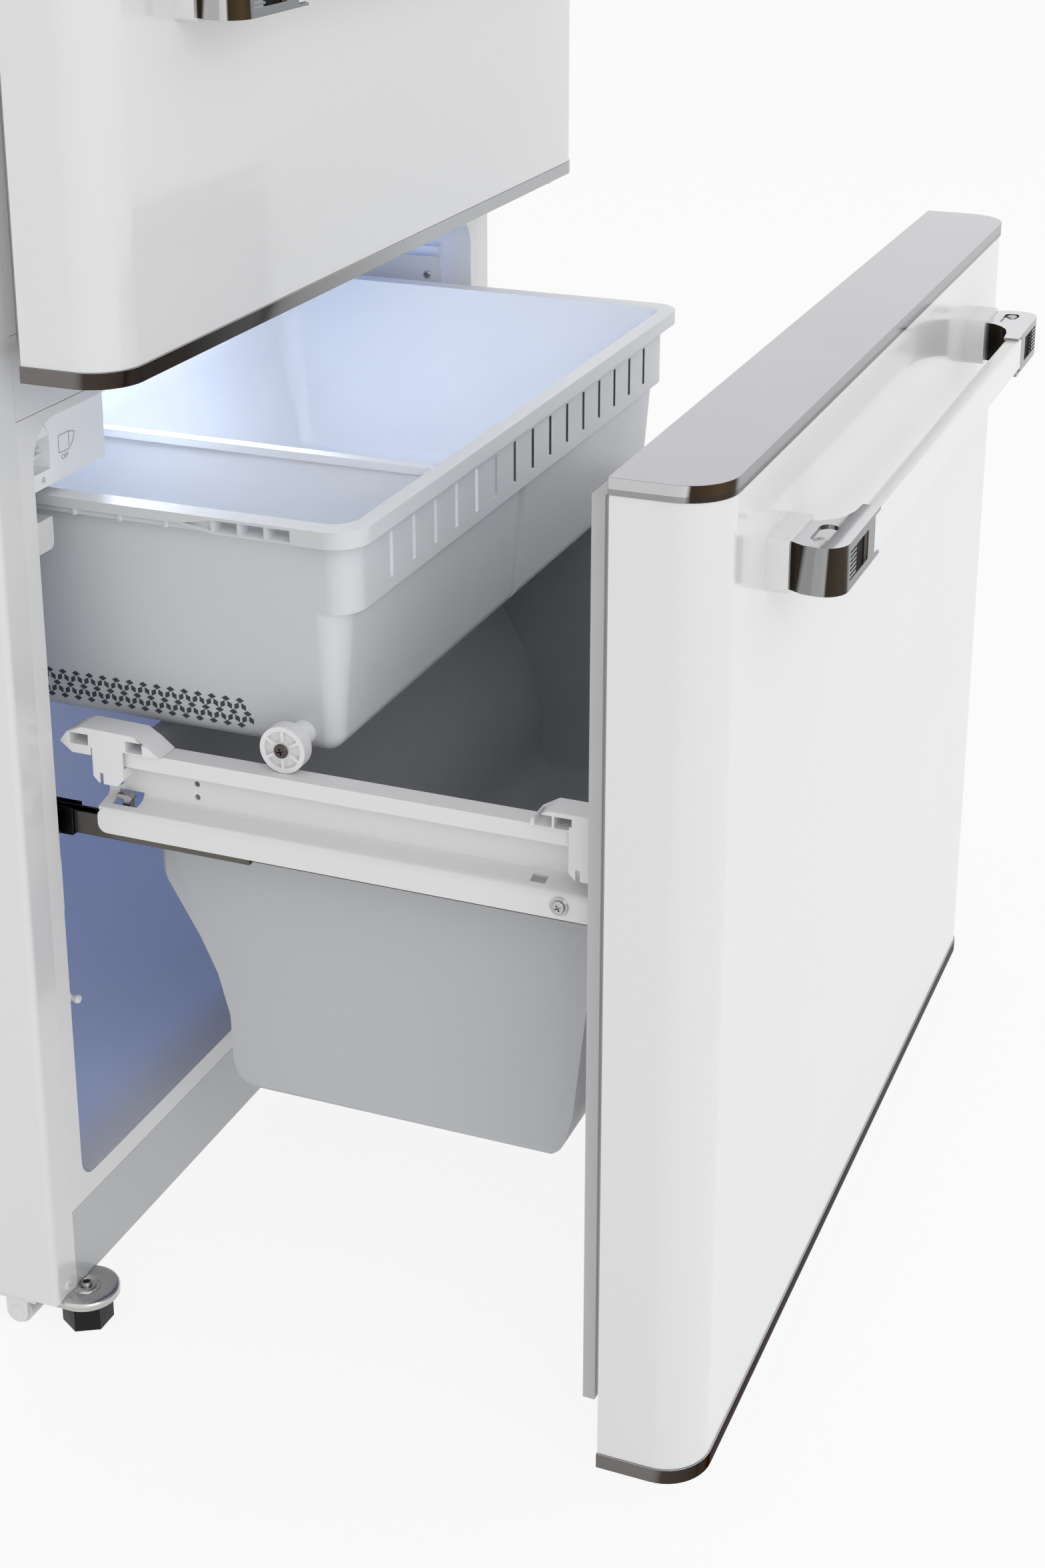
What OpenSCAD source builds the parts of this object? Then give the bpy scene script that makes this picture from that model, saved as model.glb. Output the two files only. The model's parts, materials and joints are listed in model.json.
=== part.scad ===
// Bottom-freezer refrigerator in a retro style, drawn with its freezer drawer pulled out.
// X runs to the right seen from the front, Y to the back, Z up, in millimetres.
// Inside the modules y = 0 is the front face of the cabinet.

/* [Cabinet] */
// Width of the cabinet over the painted shell
cab_w = 840; // [740:1:940]
// Depth of the cabinet without its doors
cab_d = 640; // [600:1:720]
// Height of the cabinet's lower edge above the floor
cab_bottom = 28; // [26:0.5:36]
// Height of the cabinet's top face above the floor
cab_top = 1728; // [1560:1:1900]
// Thickness of the painted steel sheet
sheet = 1; // [0.6:0.1:1.5]
// Thickness of the insulated side walls
wall = 45; // [38:1:60]
// Width of the folded flange round the cabinet's front
flange_w = 28; // [22:1:32]
// Wall of the moulded inner liners
liner_t = 2.5; // [1.5:0.1:4]

/* [Freezer compartment] */
// Height of the freezer opening's sill above the cabinet's lower edge
sill_h = 82; // [74:1:100]
// Height of the freezer opening's top edge above the floor
freezer_top = 697; // [670:1:790]
// Insulation and air duct behind the freezer compartment
freezer_back = 135; // [115:1:160]
// Height of the step over the machine compartment above the sill
step_h = 210; // [190:1:240]
// Depth of that step in front of the compartment's rear wall
step_d = 158; // [140:1:180]

/* [Fresh food compartment] */
// Height of the insulated bar between the two openings
mullion_h = 83; // [74:1:104]
// Thickness of the insulated top
top_wall = 48; // [44:1:70]
// Insulation behind the fresh food compartment
fresh_back = 75; // [60:1:100]
// Thickness of the glass shelves
glass_t = 5; // [3:0.5:8]
// Room for the crispers under the lowest shelf
crisper_room = 212; // [160:1:260]
// Free height over the topmost shelf
shelf_room = 150; // [110:1:240]

/* [Doors] */
// How far the doors stay inside the cabinet's sides
door_side_gap = 4; // [2:0.5:8]
// How far the upper door stays below the cabinet's top
door_top_gap = 2; // [0:0.5:8]
// Thickness of the door and of the drawer front
door_t = 70; // [60:1:90]
// Radius of their upright front corners
door_r = 32; // [16:1:44]
// Gap between the cabinet's face and the doors, filled by the gaskets
gasket_gap = 23; // [18:0.5:26]
// How far the drawer front hangs below the cabinet's lower edge
drawer_drop = 13; // [6:1:18]
// How far the drawer front laps over the opening's top edge
drawer_lap = 28; // [24:1:34]
// Gap between the drawer front and the upper door
door_gap = 15; // [10:1:22]
// Height of the chromed end caps
cap_h = 11; // [8:0.5:16]
// How far the chromed caps stand proud of the painted skin
cap_proud = 1; // [0.5:0.1:2]

/* [Handles] */
// Distance from the door's side to the handle's bracket
handle_inset = 92; // [60:1:120]
// Distance from the door's face to the handle's front
handle_reach = 50; // [44:1:64]
// Height of the flat handle bar
bar_h = 28; // [22:1:34]
// Thickness of the flat handle bar
bar_t = 12; // [8:0.5:14]
// Depth of the white foot between the door and a bracket
stub_d = 15; // [10:0.5:18]
// Distance from the drawer front's top down to its handle's centre line
drawer_handle_drop = 77; // [50:1:140]
// Height of the upper handle's centre line above its door's lower edge
upper_handle_rise = 240; // [120:1:400]

/* [Freezer drawer] */
// How far the drawer stands open
drawer_out = 402; // [340:1:420]
// Clearance between the liner's wall and the side frames
frame_gap = 9; // [7:0.5:14]
// Sheet of the side frames
frame_t = 1.5; // [1.2:0.1:2]
// Height of the side frames' top flange above the sill
frame_rise = 354; // [335:1:372]
// How far the bin's ledge lies below that flange
ledge_drop = 18; // [15:0.5:21]
// Height of the lower bin's floor above the sill
bin_rise = 60; // [52:1:90]
// Wall of the lower bin
bin_t = 2.5; // [1.5:0.1:3.5]

/* [Basket] */
// Clearance between the liner's wall and the basket's rim
basket_gap = 33; // [30:0.5:44]
// Front of the basket's rim
basket_front = -222; // [-244:1:-200]
// Length of the basket over its rim
basket_len = 410; // [360:1:430]
// Clearance between the basket's rim and the ice maker
basket_top_gap = 5; // [4:0.5:12]
// Wall of the basket
basket_t = 3; // [2:0.1:4]
// Number of slots in the front band
slot_n = 15; // [9:2:19]
// Radius of the basket's rollers
roller_r = 17; // [15:0.25:18]

/* [Feet and rollers] */
// Distance of the levelling feet from the cabinet's sides
foot_inset = 31; // [28:1:44]
// Radius of the round steel foot plate
foot_plate_r = 25; // [22:1:30]
// Radius over the corners of the hexagonal foot
foot_r = 19; // [15:0.5:21]
// Radius of the foot's threaded stud
stud_r = 4; // [3:0.5:5]
// Radius of the rear rollers
rear_r = 13.5; // [11:0.5:15]

/* [Hidden] */
$fn = 48;

half_w = cab_w / 2;
open_half = half_w - wall;
seam_half = half_w - flange_w;
fit = 0.3;
run_gap = 0.06;
eps = 0.01;
white = "white";
chrome = [0.80, 0.81, 0.83];
steel = [0.62, 0.63, 0.65];
dark = [0.12, 0.12, 0.13];
plastic = [0.93, 0.94, 0.96];

// The two openings and the bar between them
sill_z = cab_bottom + sill_h;
fresh_bottom = freezer_top + mullion_h;
fresh_top = cab_top - top_wall;
freezer_d = cab_d - freezer_back;
fresh_d = cab_d - fresh_back;
flange_lap = 17;
kick_top = sill_z - flange_lap;
mullion_z0 = freezer_top + 7;
mullion_z1 = fresh_bottom - flange_lap;
mullion_d = 6;
opening_r_low = 16;
opening_r_top = 30;

// The machine compartment behind the freezer's step
step_z = sill_z + step_h;
step_y1 = freezer_d - step_d;
step_y0 = step_y1 - 22;
step_foam = 45;
machine_y = step_y1 + step_foam;
machine_top = step_z - step_foam;
base_h = 33;
pan_z = cab_bottom + 2;

// The folded steel floor under the foam, which also lines the machine compartment
tray_t = 1.5;
tray_z = cab_bottom + base_h;
tray_y0 = 17;
tray_slope = 22;

// The compressor, its condenser and the fan between them
comp_inset = 185;
comp_depth = 118;
comp_x = -half_w + comp_inset;
comp_y = machine_y + comp_depth;
comp_r = 72;
comp_z = pan_z + 24;
comp_h = 150;
tube_r = 3;
cond_rows = 7;
cond_pitch = 26;
cond_gap = 34;
cond_z0 = pan_z + cond_pitch;
cond_right = half_w - 120;
cond_left = cond_right - 210;
cond_y = comp_y - 34;
pipe_z = cond_z0 + (cond_rows - 1) * cond_pitch;
fan_r = 72;
fan_hub_h = 22;
fan_x = cond_left - 70;
fan_z = pan_z + 96;
mount_x = fan_x + fan_hub_h + fit;

// The evaporator behind its cover
evap_y = freezer_d - 35;
evap_half = open_half - 145;
evap_fan_z = freezer_top - 92;

// The shelves and the fittings of the fresh food compartment
shelf_n = 4;
shelf_low = fresh_bottom + crisper_room;
shelf_pitch = (fresh_top - shelf_room - shelf_low) / (shelf_n - 1);
shelf_zs = [for (i = [0:shelf_n - 1]) shelf_low + i * shelf_pitch];
shelf_y0 = 112;
shelf_y1 = fresh_d - 22;
ledge_w = 9;
control_half = 190;
control_y0 = 90;
control_d = 170;
control_h = 34;
lamp_x0 = -control_half + 90;
dial_x = -control_half + 45;
dial_y = control_y0 + 80;
stem_r = 4;

// The doors
door_w = cab_w - 2 * door_side_gap;
door_top = cab_top - door_top_gap;
drawer_bottom = cab_bottom - drawer_drop;
drawer_top = freezer_top + drawer_lap;
door_bottom = drawer_top + door_gap;
skin_t = 1.2;
upper_rear = -gasket_gap;
drawer_rear = -gasket_gap - drawer_out;
door_half = door_w / 2;
seam_door = door_half - 24;
hinge_x = door_half - 31;
hinge_y = -gasket_gap - 35;
hinge_pin_r = 5;
pin_bore_r = hinge_pin_r + run_gap;
gasket_out = open_half + 9;
gasket_w = 15;
gasket_t = gasket_gap - fit;
drawer_gasket_z0 = drawer_bottom + 27;
drawer_gasket_z1 = freezer_top + 5;
plug_half = gasket_out - gasket_w - 3;
plug_d = 16;
plug_y = drawer_rear + plug_d;

// The upper door's side ribs and its bins
dyke_x = open_half - 33;
dyke_w = 24;
dyke_y = 46;
bin_h = 105;
bin_low = fresh_bottom + 40;
bin_high = fresh_top - 290;
bin_zs = [bin_low, (bin_low + bin_high) / 2, bin_high];

// The handles
handle_half = door_half - handle_inset;
drawer_handle_z = drawer_top - drawer_handle_drop;
upper_handle_z = door_bottom + upper_handle_rise;
socket_x = 80;

// The drawer's side frames and the three-part slides inside them
frame_half = open_half - frame_gap;
frame_top = sill_z + frame_rise;
ledge_z = frame_top - ledge_drop;
frame_y0 = plug_y;
frame_y1 = -gasket_gap - 4;
web_x = frame_half - 18.5;
rail_h = 19;
rail_z1 = frame_top - 46;
rail_z0 = rail_z1 - rail_h;
shoulder_z = rail_z1 + 3;
bin_ledge_w = 24;
slide_half_w = 7;
slide_x = frame_half - frame_t - fit - slide_half_w;
slide_t = 1.4;
slide_gap = 0.4;
slide_z0 = rail_z0 - 8;
slide_z1 = rail_z1 - 6;
slide_front = -5;
slide_back = freezer_d - 50;
mid_len = 400;
mid_front = slide_front - 140;
mid_half = slide_half_w - slide_t - slide_gap;
mid_t = 1.6;

// The lower bin hangs between the frames
bin_floor_z = sill_z + bin_rise;
bin_top = ledge_z + 3.2;
bin_y0 = frame_y0 + 14;
bin_y1 = frame_y1 - 12;
bin_half = web_x - frame_t - bin_ledge_w - 2;

// The ice maker under the freezer's top
ice_w = 113;
ice_x0 = -open_half;
ice_x1 = ice_x0 + ice_w;
ice_y0 = 14;
ice_y1 = 262;
ice_z0 = freezer_top - 55;
ice_tray_x = ice_x0 + 63;
ice_tray_z = ice_z0 + 28;
ice_pin_r = 4;
ice_rib_y = ice_y0 + 19;
pocket_x = ice_x0 + 12;
pocket_w = 30;
pocket_z = ice_z0 + 12;
pocket_h = 24;
pocket_d = 14;

// The basket and its running gear
basket_half = open_half - basket_gap;
basket_top = ice_z0 - basket_top_gap;
rim_over = 14;
rim_front_over = 10;
rim_lip = 12;
rim_t = 2;
rim_r = 26;
basket_wall_half = basket_half - rim_over;
basket_y0 = basket_front + rim_front_over;
basket_y1 = basket_front + basket_len;
band_z = basket_top - 64;
ledge_in = 8;
notch_w = 9;
notch_d = 9;
basket_lean = 8;
divider_x = -basket_wall_half + 168;
axle_r = 3.5;
roller_w = 11;
roller_x = web_x + 2.5;
roller_y = basket_front + 52;
roller_z = frame_top + roller_r + fit;
basket_floor_z = roller_z - 15.3;

// The feet, and the rebate that takes their plates in the closed drawer's lower rear edge
foot_x = half_w - foot_inset;
foot_y = -6;
foot_plate_t = 5;
foot_plate_y1 = 16;
relief_gap = 2;
relief_y = drawer_rear - (foot_plate_r - foot_y - gasket_gap + relief_gap);
relief_z = cab_bottom + relief_gap;
front_roller_y = 38;
front_r = 11;
front_roller_z = front_r + 1;
rear_y = cab_d - 55;

// The origin is at the middle of the outline's foot, with the drawer out
outline_front = drawer_rear - door_t - handle_reach;
frame_y = -(outline_front + cab_d) / 2;

module place() translate([0, frame_y, 0]) children();

module both() {
    children();
    mirror([1, 0, 0]) children();
}

module box(x0, x1, y0, y1, z0, z1) {
    translate([x0, y0, z0]) cube([x1 - x0, y1 - y0, z1 - z0]);
}

// Extrudes a profile drawn in X and Z along Y
module along_y(y0, y1) {
    translate([0, y1, 0]) rotate([90, 0, 0]) linear_extrude(y1 - y0) children();
}

// Extrudes a profile drawn in Y and Z along X
module along_x(x0, x1) {
    translate([x0, 0, 0]) rotate([90, 0, 90]) linear_extrude(x1 - x0) children();
}

// A rectangle with four rounded corners, the lower pair and the upper pair set apart
module round_rect(x0, x1, y0, y1, r_low, r_top) {
    union() {
        translate([x0 + r_low, y0]) square([x1 - x0 - 2 * r_low, r_low]);
        translate([x0, y0 + r_low]) square([x1 - x0, y1 - y0 - r_low - r_top]);
        translate([x0 + r_top, y1 - r_top]) square([x1 - x0 - 2 * r_top, r_top]);
        for (x = [x0 + r_low, x1 - r_low]) translate([x, y0 + r_low]) circle(r_low);
        for (x = [x0 + r_top, x1 - r_top]) translate([x, y1 - r_top]) circle(r_top);
    }
}

// Points of an arc from angle a0 to angle a1
function arc(cx, cy, r, a0, a1, n = 6) =
    [for (i = [0:n]) [cx + r * cos(a0 + (a1 - a0) * i / n), cy + r * sin(a0 + (a1 - a0) * i / n)]];

function unit(v) = v / norm(v);
function left_of(v) = [-v[1], v[0]];
function side_at(p, i) =
    let(a = unit(p[max(i, 1)] - p[max(i, 1) - 1]),
        b = unit(p[min(i, len(p) - 2) + 1] - p[min(i, len(p) - 2)]),
        m = unit(left_of(a) + left_of(b)))
    m / (m * left_of(a));

// A folded sheet: the path p is one face and t the thickness to its left
module folded(p, t) {
    other = [for (i = [0:len(p) - 1]) p[i] + side_at(p, i) * t];
    polygon(concat(p, [for (i = [len(p) - 1:-1:0]) other[i]]));
}

// Plan of a shell with rounded front corners
module front_plan(half, y0, y1, r) {
    union() {
        translate([-half, y0 + r]) square([2 * half, y1 - y0 - r]);
        translate([-half + r, y0]) square([2 * half - 2 * r, r + eps]);
        for (s = [-1, 1]) translate([s * (half - r), y0 + r]) circle(r);
    }
}

module outer_shell() {
    corner_r = 5;
    color(white) difference() {
        translate([0, 0, cab_bottom]) linear_extrude(cab_top - cab_bottom)
            front_plan(half_w, 0, cab_d, corner_r);
        translate([0, 0, cab_bottom - 1]) linear_extrude(cab_top - cab_bottom + 1 - sheet)
            front_plan(half_w - sheet, sheet, cab_d + 1, corner_r - sheet);
        box(-seam_half, seam_half, -1, sheet + 1, cab_bottom - 1, cab_top - flange_w);
    }
}

// Side outline of the freezer cavity, grown by g on every face but the front
function freezer_side(g) = [
    [-1, sill_z - g], [step_y0 + g, sill_z - g], [step_y1 + g, step_z - g],
    [freezer_d + g, step_z - g], [freezer_d + g, freezer_top + g], [-1, freezer_top + g]
];

module freezer_space(g) {
    intersection() {
        along_x(-open_half - g, open_half + g) polygon(freezer_side(g));
        along_y(-1, freezer_d + g) round_rect(-open_half - g, open_half + g, sill_z - g,
            freezer_top + g, opening_r_low + g, opening_r_top + g);
    }
}

module fresh_space(g) {
    along_y(-1, fresh_d + g) round_rect(-open_half - g, open_half + g, fresh_bottom - g,
        fresh_top + g, opening_r_top + g, opening_r_top + g);
}

module front_rim(z0, z1) box(-seam_half + eps, seam_half - eps, 0, liner_t, z0, z1);

module freezer_liner() {
    boss_z0 = slide_z0 - 60;
    boss_z1 = slide_z0 - 17;
    peg_z = sill_z + 151;
    ledge_z0 = ice_z0 + 17;
    color(plastic) union() {
        difference() {
            union() {
                front_rim(kick_top, mullion_z0);
                intersection() {
                    freezer_space(liner_t);
                    box(-half_w, half_w, 0, cab_d, cab_bottom, cab_top);
                }
            }
            freezer_space(0);
        }
        both() {
            along_y(liner_t + 1, 70) round_rect(-open_half - 1, -open_half + 6, boss_z0,
                boss_z1, 3, 3);
            translate([-open_half - 1, 8, peg_z]) rotate([0, 90, 0]) cylinder(h = 9, r = 4);
        }
        box(open_half - 8, open_half + 1, 30, 150, ledge_z0, ledge_z0 + 6);
    }
}

module fresh_food_liner() {
    duct_half = 110;
    duct_t = 18;
    duct_z0 = shelf_low + 13;
    duct_z1 = fresh_top - 45;
    vent_n = 5;
    vent_pitch = (duct_z1 - duct_z0) / vent_n;
    color(plastic) difference() {
        union() {
            difference() {
                union() {
                    front_rim(mullion_z1, cab_top - flange_w);
                    intersection() {
                        fresh_space(liner_t);
                        box(-half_w, half_w, 0, cab_d, cab_bottom, cab_top);
                    }
                }
                fresh_space(0);
            }
            both() for (z = shelf_zs) box(-open_half - 1, -open_half + ledge_w,
                shelf_y0 - 2, shelf_y1 + 10, z - 14, z - fit);
            box(-duct_half, duct_half, fresh_d - duct_t, fresh_d + 1, duct_z0, duct_z1);
        }
        for (i = [0:vent_n - 1]) let(z = duct_z0 + (i + 0.5) * vent_pitch)
            box(-duct_half + 30, duct_half - 30, fresh_d - duct_t - 1, fresh_d - duct_t + 4, z - 4, z + 4);
    }
}

function tray_path() = [
    [tray_y0, tray_z - tray_t], [machine_y - tray_slope, tray_z - tray_t],
    [machine_y, machine_top - tray_t], [cab_d - 3, machine_top - tray_t]
];

module cabinet_foam() {
    color([0.93, 0.88, 0.70]) difference() {
        box(-half_w + sheet, half_w - sheet, mullion_d, cab_d - 2.5, tray_z, cab_top - sheet);
        freezer_space(liner_t);
        fresh_space(liner_t);
        along_x(-half_w, half_w) union() {
            folded(tray_path(), tray_t);
            polygon(concat(tray_path(), [[cab_d, machine_top], [cab_d, 0], [tray_y0, 0]]));
        }
    }
}

module back_panel() {
    t = 1;
    bead_w = 14;
    bead_t = 1.4;
    bead_r = 40;
    bead_x = half_w - 70;
    bead_gap = 84;
    bead_n = 2;
    bead_h = (cab_top - machine_top - (bead_n + 1) * bead_gap) / bead_n;
    y1 = cab_d - 2.5 + t;
    color([0.78, 0.79, 0.80]) union() {
        box(-half_w + sheet, half_w - sheet, y1 - t, y1, machine_top, cab_top - sheet);
        for (i = [0:bead_n - 1]) let(z = machine_top + bead_gap + i * (bead_h + bead_gap)) difference() {
            along_y(y1 - eps, y1 + bead_t) round_rect(-bead_x, bead_x, z, z + bead_h, bead_r, bead_r);
            along_y(y1 - t, y1 + bead_t + 1) round_rect(-bead_x + bead_w, bead_x - bead_w,
                z + bead_w, z + bead_h - bead_w, bead_r - bead_w, bead_r - bead_w);
        }
    }
}

module mullion_trim() {
    color(white) difference() {
        box(-seam_half + fit, seam_half - fit, 0, mullion_d, mullion_z0 + fit, mullion_z1 - fit);
        box(-seam_half + 4, seam_half - 4, 1.5, mullion_d + 1, mullion_z0 + 4, mullion_z1 - 4);
    }
}

module kick_panel() {
    t = 1.5;
    color(white) union() {
        box(-seam_half + fit, seam_half - fit, 0, t, cab_bottom, kick_top - fit);
        box(-seam_half + fit, seam_half - fit, 0, 16, cab_bottom, cab_bottom + t);
        for (x = [-seam_half + 40, 0, seam_half - 40])
            box(x - 20, x + 20, 0, 30, tray_z - tray_t - 2, tray_z - tray_t);
    }
}

module base_frame() {
    rail_w = 36;
    t = 2;
    back_y = machine_y - tray_slope;
    color(steel) difference() {
        union() {
            both() {
                box(-half_w + sheet, -half_w + sheet + t, tray_y0, cab_d - 3, cab_bottom,
                    tray_z - tray_t);
                box(-half_w + sheet, -half_w + sheet + rail_w, tray_y0, cab_d - 3, cab_bottom,
                    cab_bottom + t);
                translate([0, 0, cab_bottom - foot_plate_t]) linear_extrude(foot_plate_t - fit / 2)
                    union() {
                        intersection() {
                            translate([-foot_x, foot_y]) circle(foot_plate_r);
                            translate([-foot_x - foot_plate_r, foot_y - foot_plate_r])
                                square([2 * foot_plate_r, foot_plate_r + foot_plate_y1 - foot_y]);
                        }
                        translate([-foot_x - foot_plate_r, foot_y])
                            square([2 * foot_plate_r, foot_plate_y1 - foot_y]);
                    }
                box(-foot_x + 5, -foot_x + foot_plate_r, 10, 60, cab_bottom - foot_plate_t,
                    cab_bottom + (t - fit) / 2);
            }
            along_x(-half_w + sheet, half_w - sheet) folded(tray_path(), tray_t);
            box(-half_w + sheet, half_w - sheet, back_y - 2, back_y, cab_bottom,
                tray_z - tray_t + eps);
            box(-half_w + sheet, half_w - sheet, back_y - 2, cab_d - 3, cab_bottom, pan_z);
        }
        both() box(-foot_x + 4, -foot_x + foot_plate_r + 1, 9, foot_plate_y1 + 1,
            cab_bottom - fit / 2, cab_bottom + 3);
        both() translate([-foot_x, foot_y, cab_bottom - 6]) cylinder(h = 8, r = stud_r + run_gap);
        both() box(-half_w + 8, -half_w + 34, rear_y - rear_r - 4, rear_y + rear_r + 4,
            cab_bottom - 1, pan_z + 1);
    }
}

module machine_cover() {
    t = 1.5;
    y1 = cab_d;
    slot_h = 6;
    slot_w = 90;
    slot_rows = 10;
    color([0.55, 0.56, 0.58]) difference() {
        union() {
            box(-half_w + 4, half_w - 4, y1 - t, y1, pan_z + 1, machine_top - 2);
            for (z = [pan_z + 1, machine_top - 2 - t])
                box(-half_w + 4, half_w - 4, y1 - 14, y1, z, z + t);
        }
        both() for (x = [half_w - 190, half_w - 310], i = [0:slot_rows - 1])
            let(z = pan_z + 40 + i * 17) box(x, x + slot_w, y1 - 2 * t, y1 + 1, z, z + slot_h);
    }
}

module compressor() {
    dome = 34;
    color(dark) union() {
        translate([comp_x, comp_y, comp_z]) rotate_extrude() polygon(concat(
            [[0, 0]],
            [[comp_r - 22, 0]],
            arc(comp_r - 22, 22, 22, -90, 0),
            [[comp_r, 66], [comp_r + 5, 66], [comp_r + 5, 71], [comp_r, 71]],
            arc(comp_r - dome, comp_h - dome, dome, 0, 90),
            [[0, comp_h]]));
        translate([comp_x + comp_r - 10, comp_y - 26, comp_z + 30]) cube([32, 52, 50]);
        for (sx = [-1, 1], sy = [-1, 1]) {
            translate([comp_x + sx * 78, comp_y + sy * 52, pan_z]) cylinder(h = 22, r = 11);
            translate([comp_x + sx * 78, comp_y + sy * 52, pan_z + 21]) cylinder(h = 8, r = 4);
        }
        for (sy = [-1, 1])
            box(comp_x - 92, comp_x + 92, comp_y + sy * 52 - 14, comp_y + sy * 52 + 14,
                pan_z + 22, pan_z + 26);
    }
}

// One pass of pipe along X
module pass(x0, x1, y, z, r) translate([x0, y, z]) rotate([0, 90, 0]) cylinder(h = x1 - x0, r = r);

// A half turn that joins two passes one above the other
module turn_up(x, y, z, pitch, r, s) {
    translate([x, y, z + pitch / 2]) rotate([90, 0, 0]) rotate([0, 0, s > 0 ? -90 : 90])
        rotate_extrude(angle = 180) translate([pitch / 2, 0]) circle(r, $fn = 16);
}

module serpentine(x0, x1, y, z, pitch, n, r) {
    for (i = [0:n - 1]) pass(x0, x1, y, z + i * pitch, r);
    for (i = [0:n - 2]) turn_up(i % 2 == 0 ? x1 : x0, y, z + i * pitch, pitch, r, i % 2 == 0 ? 1 : -1);
}

module condenser_coil() {
    color([0.18, 0.18, 0.19]) union() {
        for (j = [0:2]) serpentine(cond_left + 14, cond_right - 14, cond_y + j * cond_gap, cond_z0,
            cond_pitch, cond_rows, tube_r);
        for (x = [cond_left:21:cond_right])
            box(x, x + 1, cond_y - 16, cond_y + 2 * cond_gap + 16, pan_z, pipe_z + 18);
    }
    color([0.72, 0.45, 0.30]) union() {
        translate([comp_x, comp_y, comp_z + comp_h])
            cylinder(h = pipe_z - comp_z - comp_h, r = tube_r + 1.6);
        pass(comp_x - 6, cond_left + 20, comp_y, pipe_z, tube_r + 0.8);
    }
}

module condenser_fan_mount() {
    t = 2;
    color(steel) difference() {
        union() {
            box(mount_x, mount_x + t, machine_y + 10, cab_d - 18, pan_z, machine_top - 40);
            translate([mount_x, comp_y, fan_z]) rotate([0, 90, 0]) cylinder(h = 34, r = 24);
        }
        translate([mount_x - 1, comp_y, fan_z]) rotate([0, 90, 0]) difference() {
            cylinder(h = 5, r = fan_r + 3);
            translate([0, 0, -1]) cylinder(h = 7, r = 23.9);
            for (a = [45, 135]) rotate([0, 0, a]) translate([-90, -4, -1]) cube([180, 8, 7]);
        }
        pass(mount_x - 1, mount_x + 5, comp_y, pipe_z, tube_r + 1.2);
    }
}

module fan_blades(hub_r, tip_r, depth, n) {
    intersection() {
        cylinder(h = depth, r = tip_r);
        union() {
            cylinder(h = depth, r = hub_r);
            for (i = [0:n - 1]) rotate([0, 0, i * 360 / n]) translate([hub_r - 3, 0, depth / 2])
                rotate([32, 0, 0]) translate([0, -tip_r * 0.36, -0.9])
                cube([tip_r, tip_r * 0.72, 1.8]);
        }
    }
}

module condenser_fan() {
    color(dark) translate([fan_x, comp_y, fan_z]) rotate([0, 90, 0])
        fan_blades(15, fan_r - 4, fan_hub_h, 5);
}

module drip_tray() {
    z0 = comp_z + comp_h + fit;
    y0 = comp_y + tube_r + 3;
    t = 2;
    color(dark) difference() {
        box(comp_x - 90, comp_x + 90, y0, y0 + 104, z0, z0 + 24);
        box(comp_x - 90 + t, comp_x + 90 - t, y0 + t, y0 + 104 - t, z0 + t, z0 + 25);
    }
}

module evaporator_coil() {
    color([0.80, 0.81, 0.82]) union() {
        serpentine(-evap_half, evap_half, evap_y + 16, step_z + 40, 24, 7, 4);
        for (x = [-evap_half + 20:35:evap_half - 20])
            box(x, x + 0.8, evap_y + 5, evap_y + 27, step_z + fit, step_z + 200);
        for (x = [-evap_half - 2, evap_half + 1])
            box(x, x + 1.5, evap_y + 5, freezer_d, step_z + fit, step_z + 200);
    }
}

module evaporator_cover() {
    t = 2.5;
    color(plastic) difference() {
        along_y(evap_y, evap_y + t) round_rect(-open_half + fit, open_half - fit, step_z + fit,
            freezer_top - fit, 1, opening_r_top);
        for (x = [-60:15:60]) let(h = sqrt(70 * 70 - x * x))
            box(x - 4, x + 4, evap_y - 1, evap_y + t + 1, evap_fan_z - h, evap_fan_z + h);
        for (x = [-open_half + 75:30:open_half - 75])
            box(x - 10, x + 10, evap_y - 1, evap_y + t + 1, step_z + 12, step_z + 18);
    }
}

module evaporator_fan_motor() {
    color(dark) union() {
        translate([0, freezer_d, evap_fan_z]) rotate([90, 0, 0]) cylinder(h = 10, r = 22);
        for (a = [30:120:270]) translate([0, freezer_d - 3, evap_fan_z]) rotate([0, a, 0])
            box(-5, 5, 0, 3, 15, 66);
    }
}

module evaporator_fan() {
    color(plastic) translate([0, freezer_d - 10 - fit, evap_fan_z]) rotate([90, 0, 0])
        fan_blades(14, 62, 14, 5);
}

// Telescopic slides: a black outer channel, a steel middle channel and the drawer's bar
module channel_profile(half, z0, z1, t) {
    difference() {
        translate([-slide_x - half, z0]) square([2 * half, z1 - z0]);
        translate([-slide_x - half + t, z0 + t]) square([2 * half - 2 * t, z1 - z0]);
    }
}

module cabinet_slides() {
    leaf_t = 1.4;
    color(dark) both() {
        along_y(slide_front, slide_back) channel_profile(slide_half_w, slide_z0, slide_z1, slide_t);
        along_y(6, slide_back) union() {
            translate([-open_half, slide_z0])
                square([open_half - slide_x - slide_half_w + eps, leaf_t]);
            translate([-open_half, slide_z0]) square([leaf_t, slide_z1 - slide_z0 + 4]);
        }
    }
}

module middle_slides() {
    color(chrome) both() along_y(mid_front, mid_front + mid_len)
        channel_profile(mid_half, slide_z0 + slide_t + slide_gap, slide_z1 - 2, mid_t);
}

module drawer_slides() {
    bar_half = mid_half - mid_t - slide_gap;
    plate_t = 1.2;
    z0 = slide_z0 + slide_t + slide_gap + mid_t + slide_gap;
    z1 = slide_z1 + slide_gap + plate_t;
    color(steel) both() along_y(frame_y0 + 12, frame_y1) union() {
        translate([-slide_x - bar_half, z0]) square([2 * bar_half, z1 - z0]);
        translate([-slide_x - slide_half_w, z1 - plate_t]) square([2 * slide_half_w, plate_t]);
    }
}

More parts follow.
